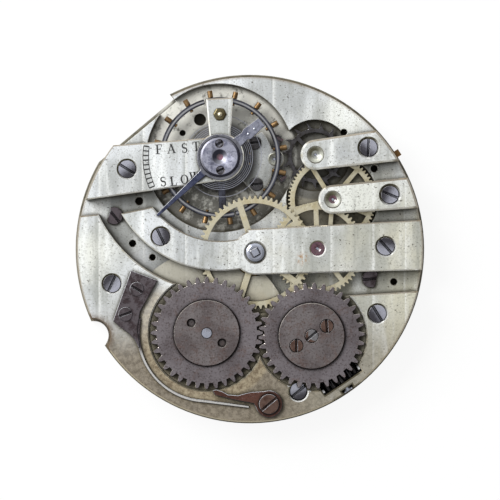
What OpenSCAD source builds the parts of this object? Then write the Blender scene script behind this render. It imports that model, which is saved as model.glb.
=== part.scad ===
// Pocket watch movement: a stem-wound, bar-type lever movement seen from its bridge side.
// Dial side down, Z = 0 on the dial seat, origin in the middle of the case flange. Millimetres.

/* [Main plate] */
// Diameter of the flange that rests in the case
plate_d = 43; // [42:0.1:44]
// Height of the case flange
flange_t = 1; // [0.8:0.05:1.2]
// Step from the flange in to the body of the plate
flange_step = 0.35; // [0.3:0.05:0.5]
// Thickness of the plate
plate_t = 2.6; // [2.5:0.05:2.7]
// Depth of the dial-side hollow for the motion work
motion_h = 0.8; // [0.75:0.01:0.85]
// Height of the floor of the balance and escapement sinks
sink_floor = 1.5; // [1.4:0.05:1.6]
// Height of the floor of the fourth wheel sink
fourth_floor = 2; // [1.9:0.05:2.1]
// Height of the floor of the barrel pocket
barrel_floor = 1.1; // [1.05:0.01:1.15]

/* [Bridges] */
// Inset of the bridges from the flange
bridge_inset = 0.4; // [0.35:0.05:0.6]
// Further inset of the balance cock
cock_inset = 0.2; // [0.1:0.05:0.4]
// Clear height under the centre bridge
train_gap = 1.75; // [1.7:0.05:1.9]
// Thickness of the centre bridge
bridge_t = 0.75; // [0.65:0.05:0.9]
// Thickness of the fourth and escape wheel bars
bar_t = 1.1; // [1:0.05:1.2]
// Clear height under the barrel bridge
barrel_gap = 0.95; // [0.9:0.01:1]
// Thickness of the shelf of the barrel bridge under the centre wheel
shelf_t = 0.25; // [0.2:0.01:0.28]
// Depth of the sinks for the winding wheels
wheel_sink = 0.4; // [0.35:0.01:0.45]
// Clear height under the balance cock
cock_gap = 1.6; // [1.55:0.05:1.8]
// Thickness of the balance cock
cock_t = 1; // [0.9:0.05:1.1]
// Radius of the round table of the cock
cock_table_r = 2.95; // [2.9:0.05:3.1]
// Thickness of the pallet bridge
pallet_bridge_t = 0.3; // [0.25:0.01:0.33]
// Radius of the round end of the fourth wheel bar
fourth_end_r = 1.75; // [1.6:0.05:1.9]
// Radius of the round end of the escape wheel bar
escape_end_r = 1.83; // [1.7:0.05:1.95]
// Radius of the boss round the centre arbor
centre_boss_r = 2.7; // [2.5:0.05:2.9]

/* [Positions] */
// Middle of the plate from the axis of the hands, across
middle_x = -0.65; // [-0.7:0.05:-0.6]
// Middle of the plate from the axis of the hands, up
middle_y = 0.4; // [0.35:0.05:0.45]
// Third wheel, across
third_x = 7.6; // [7.5:0.05:7.7]
// Third wheel, up
third_y = 0.45; // [0.35:0.05:0.55]
// Fourth wheel, across
fourth_x = 9.45; // [9.35:0.05:9.55]
// Fourth wheel, up
fourth_y = 6.45; // [6.35:0.05:6.55]
// Escape wheel, across
escape_x = 7.35; // [7.25:0.05:7.45]
// Escape wheel, up
escape_y = 11.9; // [11.8:0.05:12]
// Pallet arbor, across
pallet_x = 2.35; // [2.25:0.05:2.45]
// Pallet arbor, up
pallet_y = 11.45; // [11.35:0.05:11.55]
// Balance staff, across
balance_x = -4.3; // [-4.4:0.05:-4.2]
// Balance staff, up
balance_y = 11.6; // [11.5:0.05:11.7]
// Barrel arbor, across
barrel_x = -5.9; // [-6:0.05:-5.8]
// Barrel arbor, up
barrel_y = -9.8; // [-9.9:0.05:-9.7]
// Crown wheel, across
crown_x = 6.85; // [6.75:0.05:6.95]
// Crown wheel, up
crown_y = -10.15; // [-10.25:0.05:-10.05]
// Distance of the minute wheel from the centre
minute_r = 4; // [3.9:0.05:4.1]

/* [Wheels] */
// Teeth of the barrel
barrel_teeth = 64; // [60:1:66]
// Leaves of the centre pinion
centre_leaves = 14; // [14:1:16]
// Teeth of the centre wheel
centre_teeth = 64; // [62:1:66]
// Leaves of the third pinion
third_leaves = 8; // [8:1:9]
// Teeth of the third wheel
third_teeth = 60; // [58:1:62]
// Leaves of the fourth pinion
fourth_leaves = 8; // [8:1:9]
// Teeth of the fourth wheel
fourth_teeth = 70; // [68:1:72]
// Leaves of the escape pinion
escape_leaves = 7; // [7:1:8]
// Teeth of the ratchet wheel
ratchet_teeth = 36; // [35:1:37]
// Teeth of the crown wheel
crown_teeth = 34; // [33:1:35]
// Teeth of the winding pinion
winding_teeth = 12; // [11:1:12]
// Thickness of the train wheels
wheel_t = 0.2; // [0.18:0.01:0.22]
// Width of the rim of the train wheels inside the teeth
wheel_rim = 0.55; // [0.45:0.05:0.65]
// Thickness of the ratchet and crown wheels
winding_t = 0.65; // [0.6:0.01:0.7]
// Thickness of the barrel teeth
barrel_tooth_t = 0.6; // [0.55:0.01:0.65]
// Radius of the barrel drum under its teeth
drum_r = 8.6; // [8.4:0.05:8.7]
// Tip radius of the escape wheel
escape_r = 4.15; // [4.05:0.05:4.2]

/* [Balance] */
// Outer radius of the balance rim
balance_r = 7.4; // [7.2:0.05:7.5]
// Width of the rim
balance_rim_w = 0.6; // [0.5:0.05:0.7]
// Height of the rim
balance_rim_h = 0.7; // [0.6:0.05:0.75]
// Number of balance screws
balance_screw_n = 16; // [14:2:18]
// Head length of a balance screw
balance_head_l = 0.85; // [0.7:0.05:0.95]
// Head radius of a balance screw
balance_head_r = 0.33; // [0.28:0.01:0.35]
// Radius of the end of the hairspring at the stud
hairspring_r = 5.2; // [5.1:0.05:5.3]
// Coils of the hairspring
hairspring_coils = 7; // [6:0.5:7]
// Thickness of the hairspring ribbon
hairspring_w = 0.1; // [0.08:0.01:0.12]
// Height of the hairspring ribbon
hairspring_h = 0.25; // [0.2:0.01:0.3]

/* [Screws and bearings] */
// Head radius of a bridge screw
screw_head_r = 1.07; // [1:0.01:1.15]
// Head height of a bridge screw
screw_head_h = 0.4; // [0.35:0.01:0.45]
// Thread radius of a bridge screw
screw_r = 0.5; // [0.45:0.01:0.55]
// Width of a screw slot
slot_w = 0.28; // [0.22:0.01:0.32]
// Radius of the train pivots
pivot_r = 0.16; // [0.14:0.01:0.2]
// Radius of the train jewels
jewel_r = 0.85; // [0.8:0.01:0.9]
// Radius of the winding stem
stem_r = 0.6; // [0.55:0.01:0.65]

/* [Clearances] */
// Radial clearance of a pivot in its bearing
run_clear = 0.02; // [0.015:0.005:0.03]
// Radial clearance of a piece fixed in its seat
seat_clear = 0.01; // [0.008:0.001:0.015]
// Clearance of a moving wheel to the frame
wheel_clear = 0.2; // [0.15:0.01:0.25]
// Gap between faces that pass each other
face_clear = 0.05; // [0.04:0.005:0.08]

/* [Hidden] */
$fn = 64;

// Places of the axes
centre = [0, 0];
middle = [middle_x, middle_y];
third = [third_x, third_y];
fourth = [fourth_x, fourth_y];
escape = [escape_x, escape_y];
pallet = [pallet_x, pallet_y];
balance = [balance_x, balance_y];
barrel = [barrel_x, barrel_y];
crown = [crown_x, crown_y];
stem_a = atan2(crown_y, crown_x);

// Radii of the frame
flange_r = plate_d / 2;
plate_r = flange_r - flange_step;
bridge_r = flange_r - bridge_inset;

// Heights of the frame
centre_under = plate_t + train_gap;
bridge_top = centre_under + bridge_t;
bar_under = bridge_top - bar_t;
barrel_under = plate_t + barrel_gap;
shelf_top = barrel_under + shelf_t;
winding_floor = bridge_top - wheel_sink;
cock_under = plate_t + cock_gap;
cock_top = cock_under + cock_t;

// Tooth form, in modules
pressure_a = 20;
addendum_k = 0.8;
dedendum_k = 1.1;
tooth_play = 0.36;
least_half_a = 1.2;

function span(a, b) = norm(b - a);
function bearing(a, b) = atan2(b[1] - a[1], b[0] - a[0]);
function polar(r, a) = [r * cos(a), r * sin(a)];
function pitch_of(d, own, other) = d * own / (own + other);
function module_of(r, n) = 2 * r / n;
function tip_of(r, n) = r + addendum_k * module_of(r, n);
function root_of(r, n) = r - dedendum_k * module_of(r, n);

// Turn of gear b that puts its gap on the tooth of gear a
function mesh_phase(bear, phase_a, n_a, n_b) =
    bear + 180 - 360 / n_b * (0.5 - (bear - phase_a) * n_a / 360);

// Pitch radii, from the distances between the axes
barrel_p = pitch_of(span(barrel, centre), barrel_teeth, centre_leaves);
centre_pin_p = pitch_of(span(barrel, centre), centre_leaves, barrel_teeth);
centre_p = pitch_of(span(centre, third), centre_teeth, third_leaves);
third_pin_p = pitch_of(span(centre, third), third_leaves, centre_teeth);
third_p = pitch_of(span(third, fourth), third_teeth, fourth_leaves);
fourth_pin_p = pitch_of(span(third, fourth), fourth_leaves, third_teeth);
fourth_p = pitch_of(span(fourth, escape), fourth_teeth, escape_leaves);
escape_pin_p = pitch_of(span(fourth, escape), escape_leaves, fourth_teeth);
ratchet_p = pitch_of(span(barrel, crown), ratchet_teeth, crown_teeth);
crown_p = pitch_of(span(barrel, crown), crown_teeth, ratchet_teeth);
winding_p = crown_p * winding_teeth / crown_teeth;

barrel_tip = tip_of(barrel_p, barrel_teeth);
centre_tip = tip_of(centre_p, centre_teeth);
third_tip = tip_of(third_p, third_teeth);
fourth_tip = tip_of(fourth_p, fourth_teeth);
ratchet_tip = tip_of(ratchet_p, ratchet_teeth);
crown_tip = tip_of(crown_p, crown_teeth);
crown_root = root_of(crown_p, crown_teeth);
winding_tip = tip_of(winding_p, winding_teeth);

// Heights of the going train
pinion_over = 0.05;
centre_z = shelf_top + 0.15;
third_z = centre_z - 0.45;
fourth_z = fourth_floor + 0.45;
escape_z = sink_floor + 0.45;
tooth_z = plate_t + 0.1;
drum_z0 = barrel_floor + face_clear;
drum_z1 = barrel_under - 0.15;
cavity_z0 = drum_z0 + 0.4;
cover_t = 0.25;
cover_z = drum_z1 - cover_t;
winding_z = winding_floor + face_clear;
winding_top = winding_z + winding_t;
cap_t = 0.35;
cap_r = 4;

// Sinks in the plate
balance_sink_r = balance_r + balance_head_l + 0.85;
escape_sink_r = escape_r + 0.25;
pallet_sink_r = 3;
fourth_sink_r = fourth_tip + wheel_clear;
drum_sink_r = drum_r + wheel_clear;
barrel_room_r = barrel_tip + wheel_clear;
third_room_r = third_tip + wheel_clear;

// Winding works along the stem, as distances from the centre
crown_d = norm(crown);
winding_bite = 0.3;
stem_z = winding_z + winding_bite - winding_tip;
winding_d0 = crown_d + crown_root + 0.06;
winding_d1 = winding_d0 + 1;
room_d0 = crown_d + 1.9;
room_d1 = winding_d1 + 0.1;
room_w = winding_tip + 0.25;
notch_d = room_d1 + 0.65;
window_d0 = winding_d0 - 0.5;
stem_end_d = flange_r + middle * polar(1, stem_a) - 0.3;
stem_pivot_r = 0.4;
stem_pivot_l = 0.9;
clutch_r = 1.7;
clutch_l = 2.1;
clutch_travel = 0.7;
claw_h = 0.35;
claw_n = 8;
clutch_d1 = winding_d0 - claw_h - 2 * face_clear;
clutch_d0 = clutch_d1 - clutch_l;
square_w = 0.8;
groove_d = clutch_d0 + 0.8;
groove_w = 0.6;
groove_r = 1.3;

// Motion work on the dial side
cannon_leaves = 12;
minute_teeth = 36;
minute_leaves = 10;
hour_teeth = 40;
setting_teeth = 42;
minute = polar(minute_r, stem_a);
cannon_p = pitch_of(minute_r, cannon_leaves, minute_teeth);
minute_p = pitch_of(minute_r, minute_teeth, cannon_leaves);
minute_pin_p = pitch_of(minute_r, minute_leaves, hour_teeth);
hour_p = pitch_of(minute_r, hour_teeth, minute_leaves);
setting_p = minute_p * setting_teeth / minute_teeth;
setting_r = minute_r + minute_p + setting_p;
setting = polar(setting_r, stem_a);
motion_z = motion_h - 0.35;
motion_t = 0.25;
hour_z = 0.12;
post_r = 0.45;
pipe_r = 1.1;
cannon_r = 0.85;
yoke_arm = 5;
yoke_d = groove_d + groove_w / 2;
yoke_pivot = polar(yoke_d, stem_a) + polar(yoke_arm, stem_a + 90);
yoke_w = 1.1;
yoke_pin_r = 0.22;

// Heights of the escapement and balance
fork_t = 0.2;
pallet_under = escape_z + fork_t + 0.15;
pallet_top = pallet_under + pallet_bridge_t;
rim_z = pallet_top + 0.25;
arm_z = rim_z + 0.05;
arm_t = 0.25;
roller_r = 1.5;
roller_z = escape_z + fork_t + 0.15;
roller_t = 0.2;
impulse_r = 0.14;
impulse_orbit = 1.1;
spring_z = rim_z + balance_rim_h + 0.15;
collet_r = 0.9;
staff_r = 0.45;
staff_pivot_r = 0.1;
fork_reach = span(pallet, balance) - impulse_orbit - impulse_r - 0.08;
lever_half_w = 0.22;
fork_swing = 4;
banking_r = 0.15;
banking_x = 3;
end_piece_r = 2.37;
regulator_in = 2.1;
regulator_out = 2.8;
regulator_z = cock_top + 0.02;
regulator_t = 0.28;
end_flange_z = regulator_z + regulator_t + 0.03;
end_piece_t = 0.3;
stud_a = 90;
curb_a = 40;
curb_r = 0.09;
curb_gap = 0.14;
pointer_a = 223;
pointer_l = 10.45;
tail_l = 6.65;
stud_hole_r = 0.62;

// Radius and place of the hairspring at a turn counted back from the stud
hairspring_in = collet_r + hairspring_w / 2 + 0.02;
spring_pitch = (hairspring_r - hairspring_in) / hairspring_coils;
function spring_radius(turn) = hairspring_r - spring_pitch * turn;
curb_orbit = spring_radius((stud_a - curb_a) / 360);

// Outlines of the bridges, as rings about the balance and a few edge points
yard = 30;
gap_ring_in = balance_sink_r + 1.1;
gap_ring_out = gap_ring_in + 3.65;
barrel_ring = gap_ring_out + 2.5;
centre_cut_r = centre_tip + 0.55;
arm_end_low = [-16.4, 4.73];
arm_end_high = [-12.35, 5.57];
centre_bar = [[-1, 2.82], [20.5, 3.96], [22, -2.1], [0.2, -2.69]];
fourth_bar_edge = [[18.7, 9.13], [22, 9.4], [22, 5.5], [19.98, 5.42]];
escape_bar_edge = [[13.98, 14.73], [22, 16], [22, 11.6], [17.5, 11.16]];
cock_edge = [[-5.5, 13.96], [-22, 12.66], [-22, 6.2], [-4.93, 8.64]];
stud_arm = [[-5.99, 18.7], [-2.7, 18.84], [-3.07, 13.5], [-5.5, 13.5]];
barrel_edge = [[-22, 4.35], [-18, 4.75], [0, -4], [4, -5.72], [21, -4.65], [22, -22], [-22, -22]];

// Screws
barrel_screws = [[-17.45, -3.8], [14.88, -7.45], [5.25, -16.95]];
barrel_screw_tops = [bridge_top, bridge_top, winding_floor - 0.05];
centre_screws = [[-11.5, 1.92], [15.87, 0.73]];
cock_screw = [-15.6, 10.15];
fourth_screw = [16.4, 7.03];
escape_screw = [13.78, 12.76];
pallet_screws = [[-0.05, 13.45], [0.15, 8.35]];
pallet_head_r = 0.8;
plate_screws = [[-17.3, 4.5], [14.2, -3.25]];
click_pivot = [1.67, -18.43];
click_eye_r = 1.64;
click_head_r = 1.2;
click_t = 0.45;
click_boss_r = 0.7;
core_screw_r = 0.79;
core_screw_orbit = 2.2;
core_screw_a = 33;
core_hub_r = 3;
block_screws = [[-14.4, -4.45], [-15.77, -7.5]];
block_head_r = 0.85;
block_t = 0.5;
blade_gap = 1.45;
blade_r = ratchet_tip + blade_gap;
blade_w = 0.32;
blade_t = 0.35;
blade_a0 = 186;
blade_a1 = 268;
blade_end = 5.15;
shank_end = 1.25;

// Plain holes of the plate, with their radii, and steady pins
plate_holes = [
    [[-14.25, 6.3], 0.5], [[-15.05, 1.1], 0.43], [[10.9, 14.75], 0.4], [[17, -3.6], 0.43],
    [[-6.8, 16.35], 0.75], [[14.6, 10.3], 0.45], [[-12.6, -0.6], 0.4], [[-8.95, 14.7], 0.38]
];
plate_hole_floor = 0.5;
notch_place = [-19.75, -10.2];
notch_r = 1.75;
flat_a = 130;
flat_d = 19.75;
flat_ledge = 0.45;
flat_step_y = 4.7;
steady_places = [[15.1, 7.98], [-17.2, 8.4], [18.4, 2.2], [-13.7, 3.6], [17, -10.6], [-18.7, -1.2], [15.7, 12.2]];
steady_r = 0.35;
steady_low = 1.6;
steady_hidden = plate_t + 0.9;
slot_depth = 0.18;
small_head_h = 0.25;
small_r = 0.3;

silver = [0.78, 0.77, 0.72];
steel = [0.42, 0.42, 0.45];
blue_steel = [0.33, 0.36, 0.45];
rust_steel = [0.45, 0.34, 0.3];
brass = [0.8, 0.66, 0.36];
gold = [0.78, 0.55, 0.32];
ruby = [0.6, 0.12, 0.22];

// General shapes
module at(p, z = 0) {
    translate([p[0], p[1], z]) children();
}

module disc(p, r, z0, z1) {
    at(p, z0) cylinder(r = r, h = z1 - z0);
}

module ring(p, r_in, r_out, z0, z1) {
    difference() {
        disc(p, r_out, z0, z1);
        disc(p, r_in, z0 - 1, z1 + 1);
    }
}

module slab(z0, z1) {
    translate([0, 0, z0]) linear_extrude(z1 - z0) children();
}

// Along the stem, with local Z pointing out of the movement
module along_stem(d) {
    translate([d * cos(stem_a), d * sin(stem_a), stem_z]) rotate([0, 90, stem_a]) children();
}

// A polygon whose points always run anticlockwise
function signed_area(p) = [for (i = [0:len(p) - 1]) cross(p[i], p[(i + 1) % len(p)])] * [for (q = p) 1];

module outline(p) {
    polygon(signed_area(p) > 0 ? p : [for (i = [len(p) - 1:-1:0]) p[i]]);
}

// A wedge of the plane between two angles
module wedge(p, a0, a1) {
    mid = (a0 + a1) / 2;
    translate(p) outline([[0, 0], polar(yard, a0), polar(2 * yard, mid), polar(yard, a1)]);
}

// Gear outline with involute flanks
function involute_a(base, r) =
    let (t = sqrt(max(0, pow(r / base, 2) - 1))) t * 180 / PI - atan(t);

function flank_radii(base, root, tip) =
    root < base ? [root, base, (base + tip) / 2, tip] : [root, (2 * root + tip) / 3, (root + 2 * tip) / 3, tip];

module gear_outline(pitch, teeth, phase) {
    m = module_of(pitch, teeth);
    base = pitch * cos(pressure_a);
    half = 90 / teeth - tooth_play * m / 2 / pitch * 180 / PI / 2;
    radii = flank_radii(base, root_of(pitch, teeth), tip_of(pitch, teeth));
    halves = [for (r = radii) max(least_half_a * 10 / teeth, half + involute_a(base, pitch) - involute_a(base, r))];
    outline([
        for (i = [0:teeth - 1], k = [0:7])
            let (j = k < 4 ? k : 7 - k, side = k < 4 ? -1 : 1)
                polar(radii[j], phase + i * 360 / teeth + side * halves[j])
    ]);
}

// Wheel outline with arms
module wheel_outline(pitch, teeth, phase, arms, arm_phase, hub, bore, arm_w) {
    inner = root_of(pitch, teeth) - wheel_rim;
    difference() {
        union() {
            difference() {
                gear_outline(pitch, teeth, phase);
                circle(inner);
            }
            circle(hub);
            for (i = [0:arms - 1])
                rotate(arm_phase + i * 360 / arms)
                    translate([0, -arm_w / 2]) square([inner + wheel_rim / 2, arm_w]);
        }
        circle(bore);
    }
}

// Slotted screw, head down on a seat
module screw(p, seat_z, head_r, head_h, shank, end_z, slot_a) {
    difference() {
        union() {
            disc(p, head_r, seat_z, seat_z + head_h);
            disc(p, shank, end_z, seat_z + head_h / 2);
        }
        at(p, seat_z + head_h - slot_depth)
            rotate(slot_a) translate([-2 * head_r, -slot_w / 2, 0]) cube([4 * head_r, slot_w, slot_depth + 1]);
    }
}

// Hole and counterbore for a bridge screw
module screw_hole(p, top) {
    disc(p, screw_r + 0.05, 0, top + 1);
    disc(p, screw_head_r + 0.05, top - screw_head_h, top + 1);
}

// Arbor made of a body, two pivots and a seat for its wheel
module arbor(p, body_r, z_low, z_high, pivot_low, pivot_high) {
    disc(p, body_r, z_low, z_high);
    disc(p, pivot_r, pivot_low, z_low + 0.1);
    disc(p, pivot_r, z_high - 0.1, pivot_high);
}

// Arbor sizes
train_arbor_r = 0.3;
jewel_t = 0.35;
oil_sink_r = 0.45;
low_pivot_l = 0.4;
third_low = plate_t - low_pivot_l;
fourth_low = fourth_floor - low_pivot_l;
escape_low = sink_floor - low_pivot_l;

// Frame
module plate_sinks() {
    disc(balance, balance_sink_r, sink_floor, plate_t + 1);
    disc(escape, escape_sink_r, sink_floor, plate_t + 1);
    disc(pallet, pallet_sink_r, sink_floor, plate_t + 1);
    disc(fourth, fourth_sink_r, fourth_floor, plate_t + 1);
    disc(barrel, drum_sink_r, barrel_floor, plate_t + 1);
}

module plate_pivot_holes() {
    disc(third, pivot_r + run_clear, third_low - 0.1, plate_t + 1);
    disc(fourth, pivot_r + run_clear, fourth_low - 0.1, plate_t + 1);
    disc(escape, pivot_r + run_clear, escape_low - 0.1, plate_t + 1);
    disc(pallet, pivot_r + run_clear, escape_low - 0.1, plate_t + 1);
    disc(barrel, arbor_low_r + run_clear, barrel_floor - 0.6, plate_t + 1);
    disc(centre, centre_r + run_clear, -1, plate_t + 1);
    disc(balance, lower_jewel_r + seat_clear, sink_floor - 0.7, plate_t + 1);
}

module plate_screw_holes() {
    all = concat(barrel_screws, centre_screws, [cock_screw, fourth_screw, escape_screw]);
    for (p = concat(all, plate_screws))
        disc(p, screw_r + seat_clear, shank_end - 0.1, plate_t + 1);
    for (p = pallet_screws)
        disc(p, small_r + seat_clear, sink_floor - 0.5, plate_t + 1);
    for (side = [-1, 1])
        disc(banking_place(side), banking_r + seat_clear, sink_floor - 0.5, plate_t + 1);
    for (h = plate_holes)
        disc(h[0], h[1], plate_hole_floor, plate_t + 1);
    steady_holes();
}

module steady_holes() {
    for (i = [0:len(steady_places) - 1])
        disc(steady_places[i], steady_r + seat_clear, steady_low, steady_hidden);
}

module steady_pins() {
    color(brass) for (i = [0:len(steady_places) - 1])
        disc(steady_places[i], steady_r, steady_low, steady_hidden - 0.04);
}

module motion_hollow() {
    disc(centre, tip_of(hour_p, hour_teeth) + wheel_clear, -1, motion_h);
    disc(minute, tip_of(minute_p, minute_teeth) + wheel_clear, -1, motion_h);
    disc(setting, tip_of(setting_p, setting_teeth) + wheel_clear, -1, motion_h);
    translate([0, 0, -1]) linear_extrude(motion_h + 1) yoke_outline(wheel_clear + 0.6);
}

module stem_room(top) {
    along_stem(0) translate([stem_z - top, -room_w, room_d0]) cube([top + 1, 2 * room_w, room_d1 - room_d0]);
}

module stem_bores() {
    along_stem(room_d1 - 1) cylinder(r = stem_r + run_clear, h = 10);
    along_stem(room_d0 - stem_pivot_l) cylinder(r = stem_pivot_r + run_clear, h = 10);
}

// Flat filed on the rim beside the balance sink
module rim_flat(d, z0) {
    at(middle, z0) rotate(flat_a) translate([d, -flat_step_y, 0]) cube([yard, flat_step_y + yard, yard]);
}

module main_plate() {
    color(silver) {
        difference() {
            union() {
                disc(middle, flange_r, 0, flange_t);
                disc(middle, plate_r, 0, plate_t);
            }
            plate_sinks();
            plate_pivot_holes();
            plate_screw_holes();
            motion_hollow();
            stem_room(plate_t + 1);
            stem_bores();
            rim_pin_shape(seat_clear);
            disc(notch_place, notch_r, -1, plate_t + 1);
            rim_flat(flat_d, flange_t);
            rim_flat(flat_d + flat_ledge, -1);
        }
        disc(minute, post_r, hour_z, motion_h + 0.1);
        disc(setting, post_r, motion_z - 0.1, motion_h + 0.1);
        disc(yoke_pivot, post_r, motion_z - 0.1, motion_h + 0.1);
    }
}

// Barrel bridge
module bridge_circle() {
    translate(middle) circle(bridge_r);
}

module barrel_outline() {
    difference() {
        intersection() {
            bridge_circle();
            outline(barrel_edge);
        }
        translate(balance) circle(barrel_ring);
        circle(centre_cut_r);
        translate(notch_place) circle(notch_r + 0.35);
    }
}

module barrel_shelf() {
    difference() {
        intersection() {
            bridge_circle();
            translate(barrel) circle(barrel_room_r + 0.2);
        }
        circle(tip_of(centre_pin_p, centre_leaves) + 0.6);
    }
}

module barrel_room() {
    translate(barrel) circle(barrel_room_r);
    rotate(bearing(centre, barrel)) translate([norm(barrel), -5.5]) square([yard, 11]);
}

module barrel_bridge() {
    color(silver) difference() {
        union() {
            slab(plate_t, bridge_top) barrel_outline();
            slab(barrel_under, shelf_top) barrel_shelf();
        }
        slab(0, barrel_under) barrel_room();
        disc(third, third_room_r, 0, third_z + wheel_t + 0.15);
        disc(barrel, ratchet_tip + wheel_clear, winding_floor, bridge_top + 1);
        disc(crown, crown_tip + wheel_clear, winding_floor, bridge_top + 1);
        disc(barrel, arbor_r + run_clear, 0, bridge_top);
        for (i = [0:len(barrel_screws) - 1])
            screw_hole(barrel_screws[i], barrel_screw_tops[i]);
        steady_holes();
        for (p = block_screws)
            disc(p, small_r + seat_clear, bridge_top - 1, bridge_top + 1);
        for (p = core_screw_places())
            disc(p, small_r + seat_clear, winding_floor - 0.6, bridge_top + 1);
        disc(click_pivot, click_boss_r - 0.2 + seat_clear, bridge_top - 1.2, bridge_top + 1);
        disc(plate_screws[1], screw_head_r + 0.15, 0, bridge_top + 1);
        stem_room(stem_z + clutch_r + 0.15);
        along_stem(0) translate([-10, -room_w, window_d0]) cube([10, 2 * room_w, room_d1 - window_d0]);
        stem_bores();
        along_stem(notch_d) translate([-10, -stem_r - 0.2, 0]) cube([20, 2 * stem_r + 0.4, 5]);
    }
}

// Centre bridge
module centre_arm_outline() {
    intersection() {
        difference() {
            translate(balance) circle(gap_ring_out);
            translate(balance) circle(gap_ring_in);
        }
        outline([arm_end_low, arm_end_high, [-1, 6], [0, -4], [-16, -4]]);
    }
}

module centre_outline() {
    centre_arm_outline();
    intersection() {
        outline(centre_bar);
        bridge_circle();
    }
    circle(centre_boss_r);
}

module centre_feet() {
    difference() {
        intersection() {
            centre_outline();
            union() {
                wedge(balance, 200, 244);
                translate([third_x, -yard]) square([yard, 2 * yard]);
            }
        }
        translate(third) circle(third_room_r);
        translate(fourth) circle(fourth_sink_r);
        translate(plate_screws[1]) circle(screw_head_r + 0.15);
        translate(plate_screws[0]) circle(screw_head_r + 0.15);
    }
}

module jewel_hole(p, top) {
    disc(p, jewel_r + seat_clear, 0, top + 1);
}

module centre_bridge() {
    color(silver) difference() {
        union() {
            slab(centre_under, bridge_top) centre_outline();
            slab(plate_t, bridge_top) centre_feet();
        }
        for (p = centre_screws)
            screw_hole(p, bridge_top);
        steady_holes();
        jewel_hole(third, bridge_top);
        disc(centre, centre_top_r + run_clear, 0, bridge_top + 1);
        disc(centre, centre_sink_r, bridge_top - 0.2, bridge_top + 1);
    }
}

// Bars
module bar_outline(p, end_r, edge) {
    intersection() {
        bridge_circle();
        union() {
            translate(p) circle(end_r);
            outline(concat([edge[0], edge[1], edge[2], edge[3]], bar_roots(p, end_r, edge)));
        }
    }
}

// Where the edges of a bar meet its round end
function bar_roots(p, end_r, edge) =
    let (top = edge[0] - p, low = edge[3] - p)
    let (top_a = atan2(top[1], top[0]) + acos(end_r / norm(top)))
    let (low_a = atan2(low[1], low[0]) - acos(end_r / norm(low)))
        [p + polar(end_r, low_a), p + polar(end_r, top_a)];

module bar(p, end_r, edge, clear_places, hole_p) {
    difference() {
        union() {
            slab(bar_under, bridge_top) bar_outline(p, end_r, edge);
            slab(plate_t, bridge_top) difference() {
                bar_outline(p, end_r, edge);
                for (c = clear_places)
                    translate(c[0]) circle(c[1]);
            }
        }
        screw_hole(hole_p, bridge_top);
        steady_holes();
        jewel_hole(p, bridge_top);
    }
}

module fourth_wheel_bar() {
    rooms = [[fourth, fourth_sink_r + 0.1], [third, third_room_r]];
    color(silver) bar(fourth, fourth_end_r, fourth_bar_edge, rooms, fourth_screw);
}

module escape_wheel_bar() {
    rooms = [[escape, escape_sink_r + 0.1], [fourth, fourth_sink_r + 0.1]];
    color(silver) bar(escape, escape_end_r, escape_bar_edge, rooms, escape_screw);
}

// Balance cock
module cock_outline() {
    intersection() {
        translate(middle) circle(bridge_r - cock_inset);
        union() {
            translate(balance) circle(cock_table_r);
            outline(cock_edge);
            outline(stud_arm);
        }
    }
}

module balance_cock() {
    color(silver) difference() {
        union() {
            slab(cock_under, cock_top) cock_outline();
            slab(plate_t, cock_top) difference() {
                intersection() {
                    cock_outline();
                    translate([-yard, 0]) square([yard + balance_x, yard]);
                }
                translate(balance) circle(balance_sink_r + 0.1);
            }
        }
        screw_hole(cock_screw, cock_top);
        steady_holes();
        disc(balance, jewel_r + seat_clear, 0, cock_top + 1);
        disc(stud_place(), stud_hole_r + seat_clear, 0, cock_top + 1);
        for (p = end_screw_places())
            disc(p, small_r + seat_clear, cock_top - 0.6, cock_top + 1);
    }
}

// Pallet bridge
pallet_bow_shift = [0.7, -0.6];
pallet_bow_r = 5.87;
pallet_bow_in = 3.9;
pallet_lobe_r = 1.2;

module pallet_outline() {
    intersection() {
        difference() {
            translate(balance + pallet_bow_shift) circle(pallet_bow_r);
            translate(balance) circle(pallet_bow_in);
        }
        wedge(balance, -46, 33);
    }
    translate(pallet) circle(pallet_lobe_r);
}

module pallet_bridge() {
    color(silver) difference() {
        union() {
            slab(pallet_under, pallet_top) pallet_outline();
            for (p = pallet_screws)
                disc(p, pallet_head_r, sink_floor, pallet_under + 0.1);
        }
        for (p = pallet_screws)
            disc(p, small_r + 0.05, 0, pallet_top + 1);
        disc(pallet, small_jewel_r + seat_clear, 0, pallet_top + 1);
    }
}

// Fixed screws
module bridge_screws() {
    places = concat(barrel_screws, centre_screws, [fourth_screw, escape_screw, cock_screw]);
    level = [bridge_top, bridge_top, bridge_top, bridge_top];
    tops = concat(barrel_screw_tops, level, [cock_top]);
    angles = [65, -58, 40, -64, -48, -22, 88, -32];
    color(steel) for (i = [0:len(places) - 1])
        screw(places[i], tops[i] - screw_head_h, screw_head_r, screw_head_h, screw_r, shank_end, angles[i]);
}

module pallet_bridge_screws() {
    color(steel) for (p = pallet_screws)
        screw(p, pallet_top, pallet_head_r, 0.2, small_r, sink_floor - 0.4, 5);
}

// Half-headed case screws on the plate
module case_screws() {
    color(steel) for (i = [0, 1])
        difference() {
            screw(plate_screws[i], plate_t, screw_head_r, screw_head_h, screw_r, shank_end, [-50, 5][i]);
            at(plate_screws[i], plate_t - 0.01)
                rotate(bearing(centre, plate_screws[i]))
                    translate([screw_head_r * 0.6, -yard / 2, 0]) cube([yard, yard, 2]);
        }
}

// Jewels
centre_r = 0.75;
centre_top_r = 0.62;
centre_sink_r = 1.25;
small_jewel_r = 0.6;
lower_jewel_r = 0.6;
arbor_r = 1;
arbor_low_r = 0.6;

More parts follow.
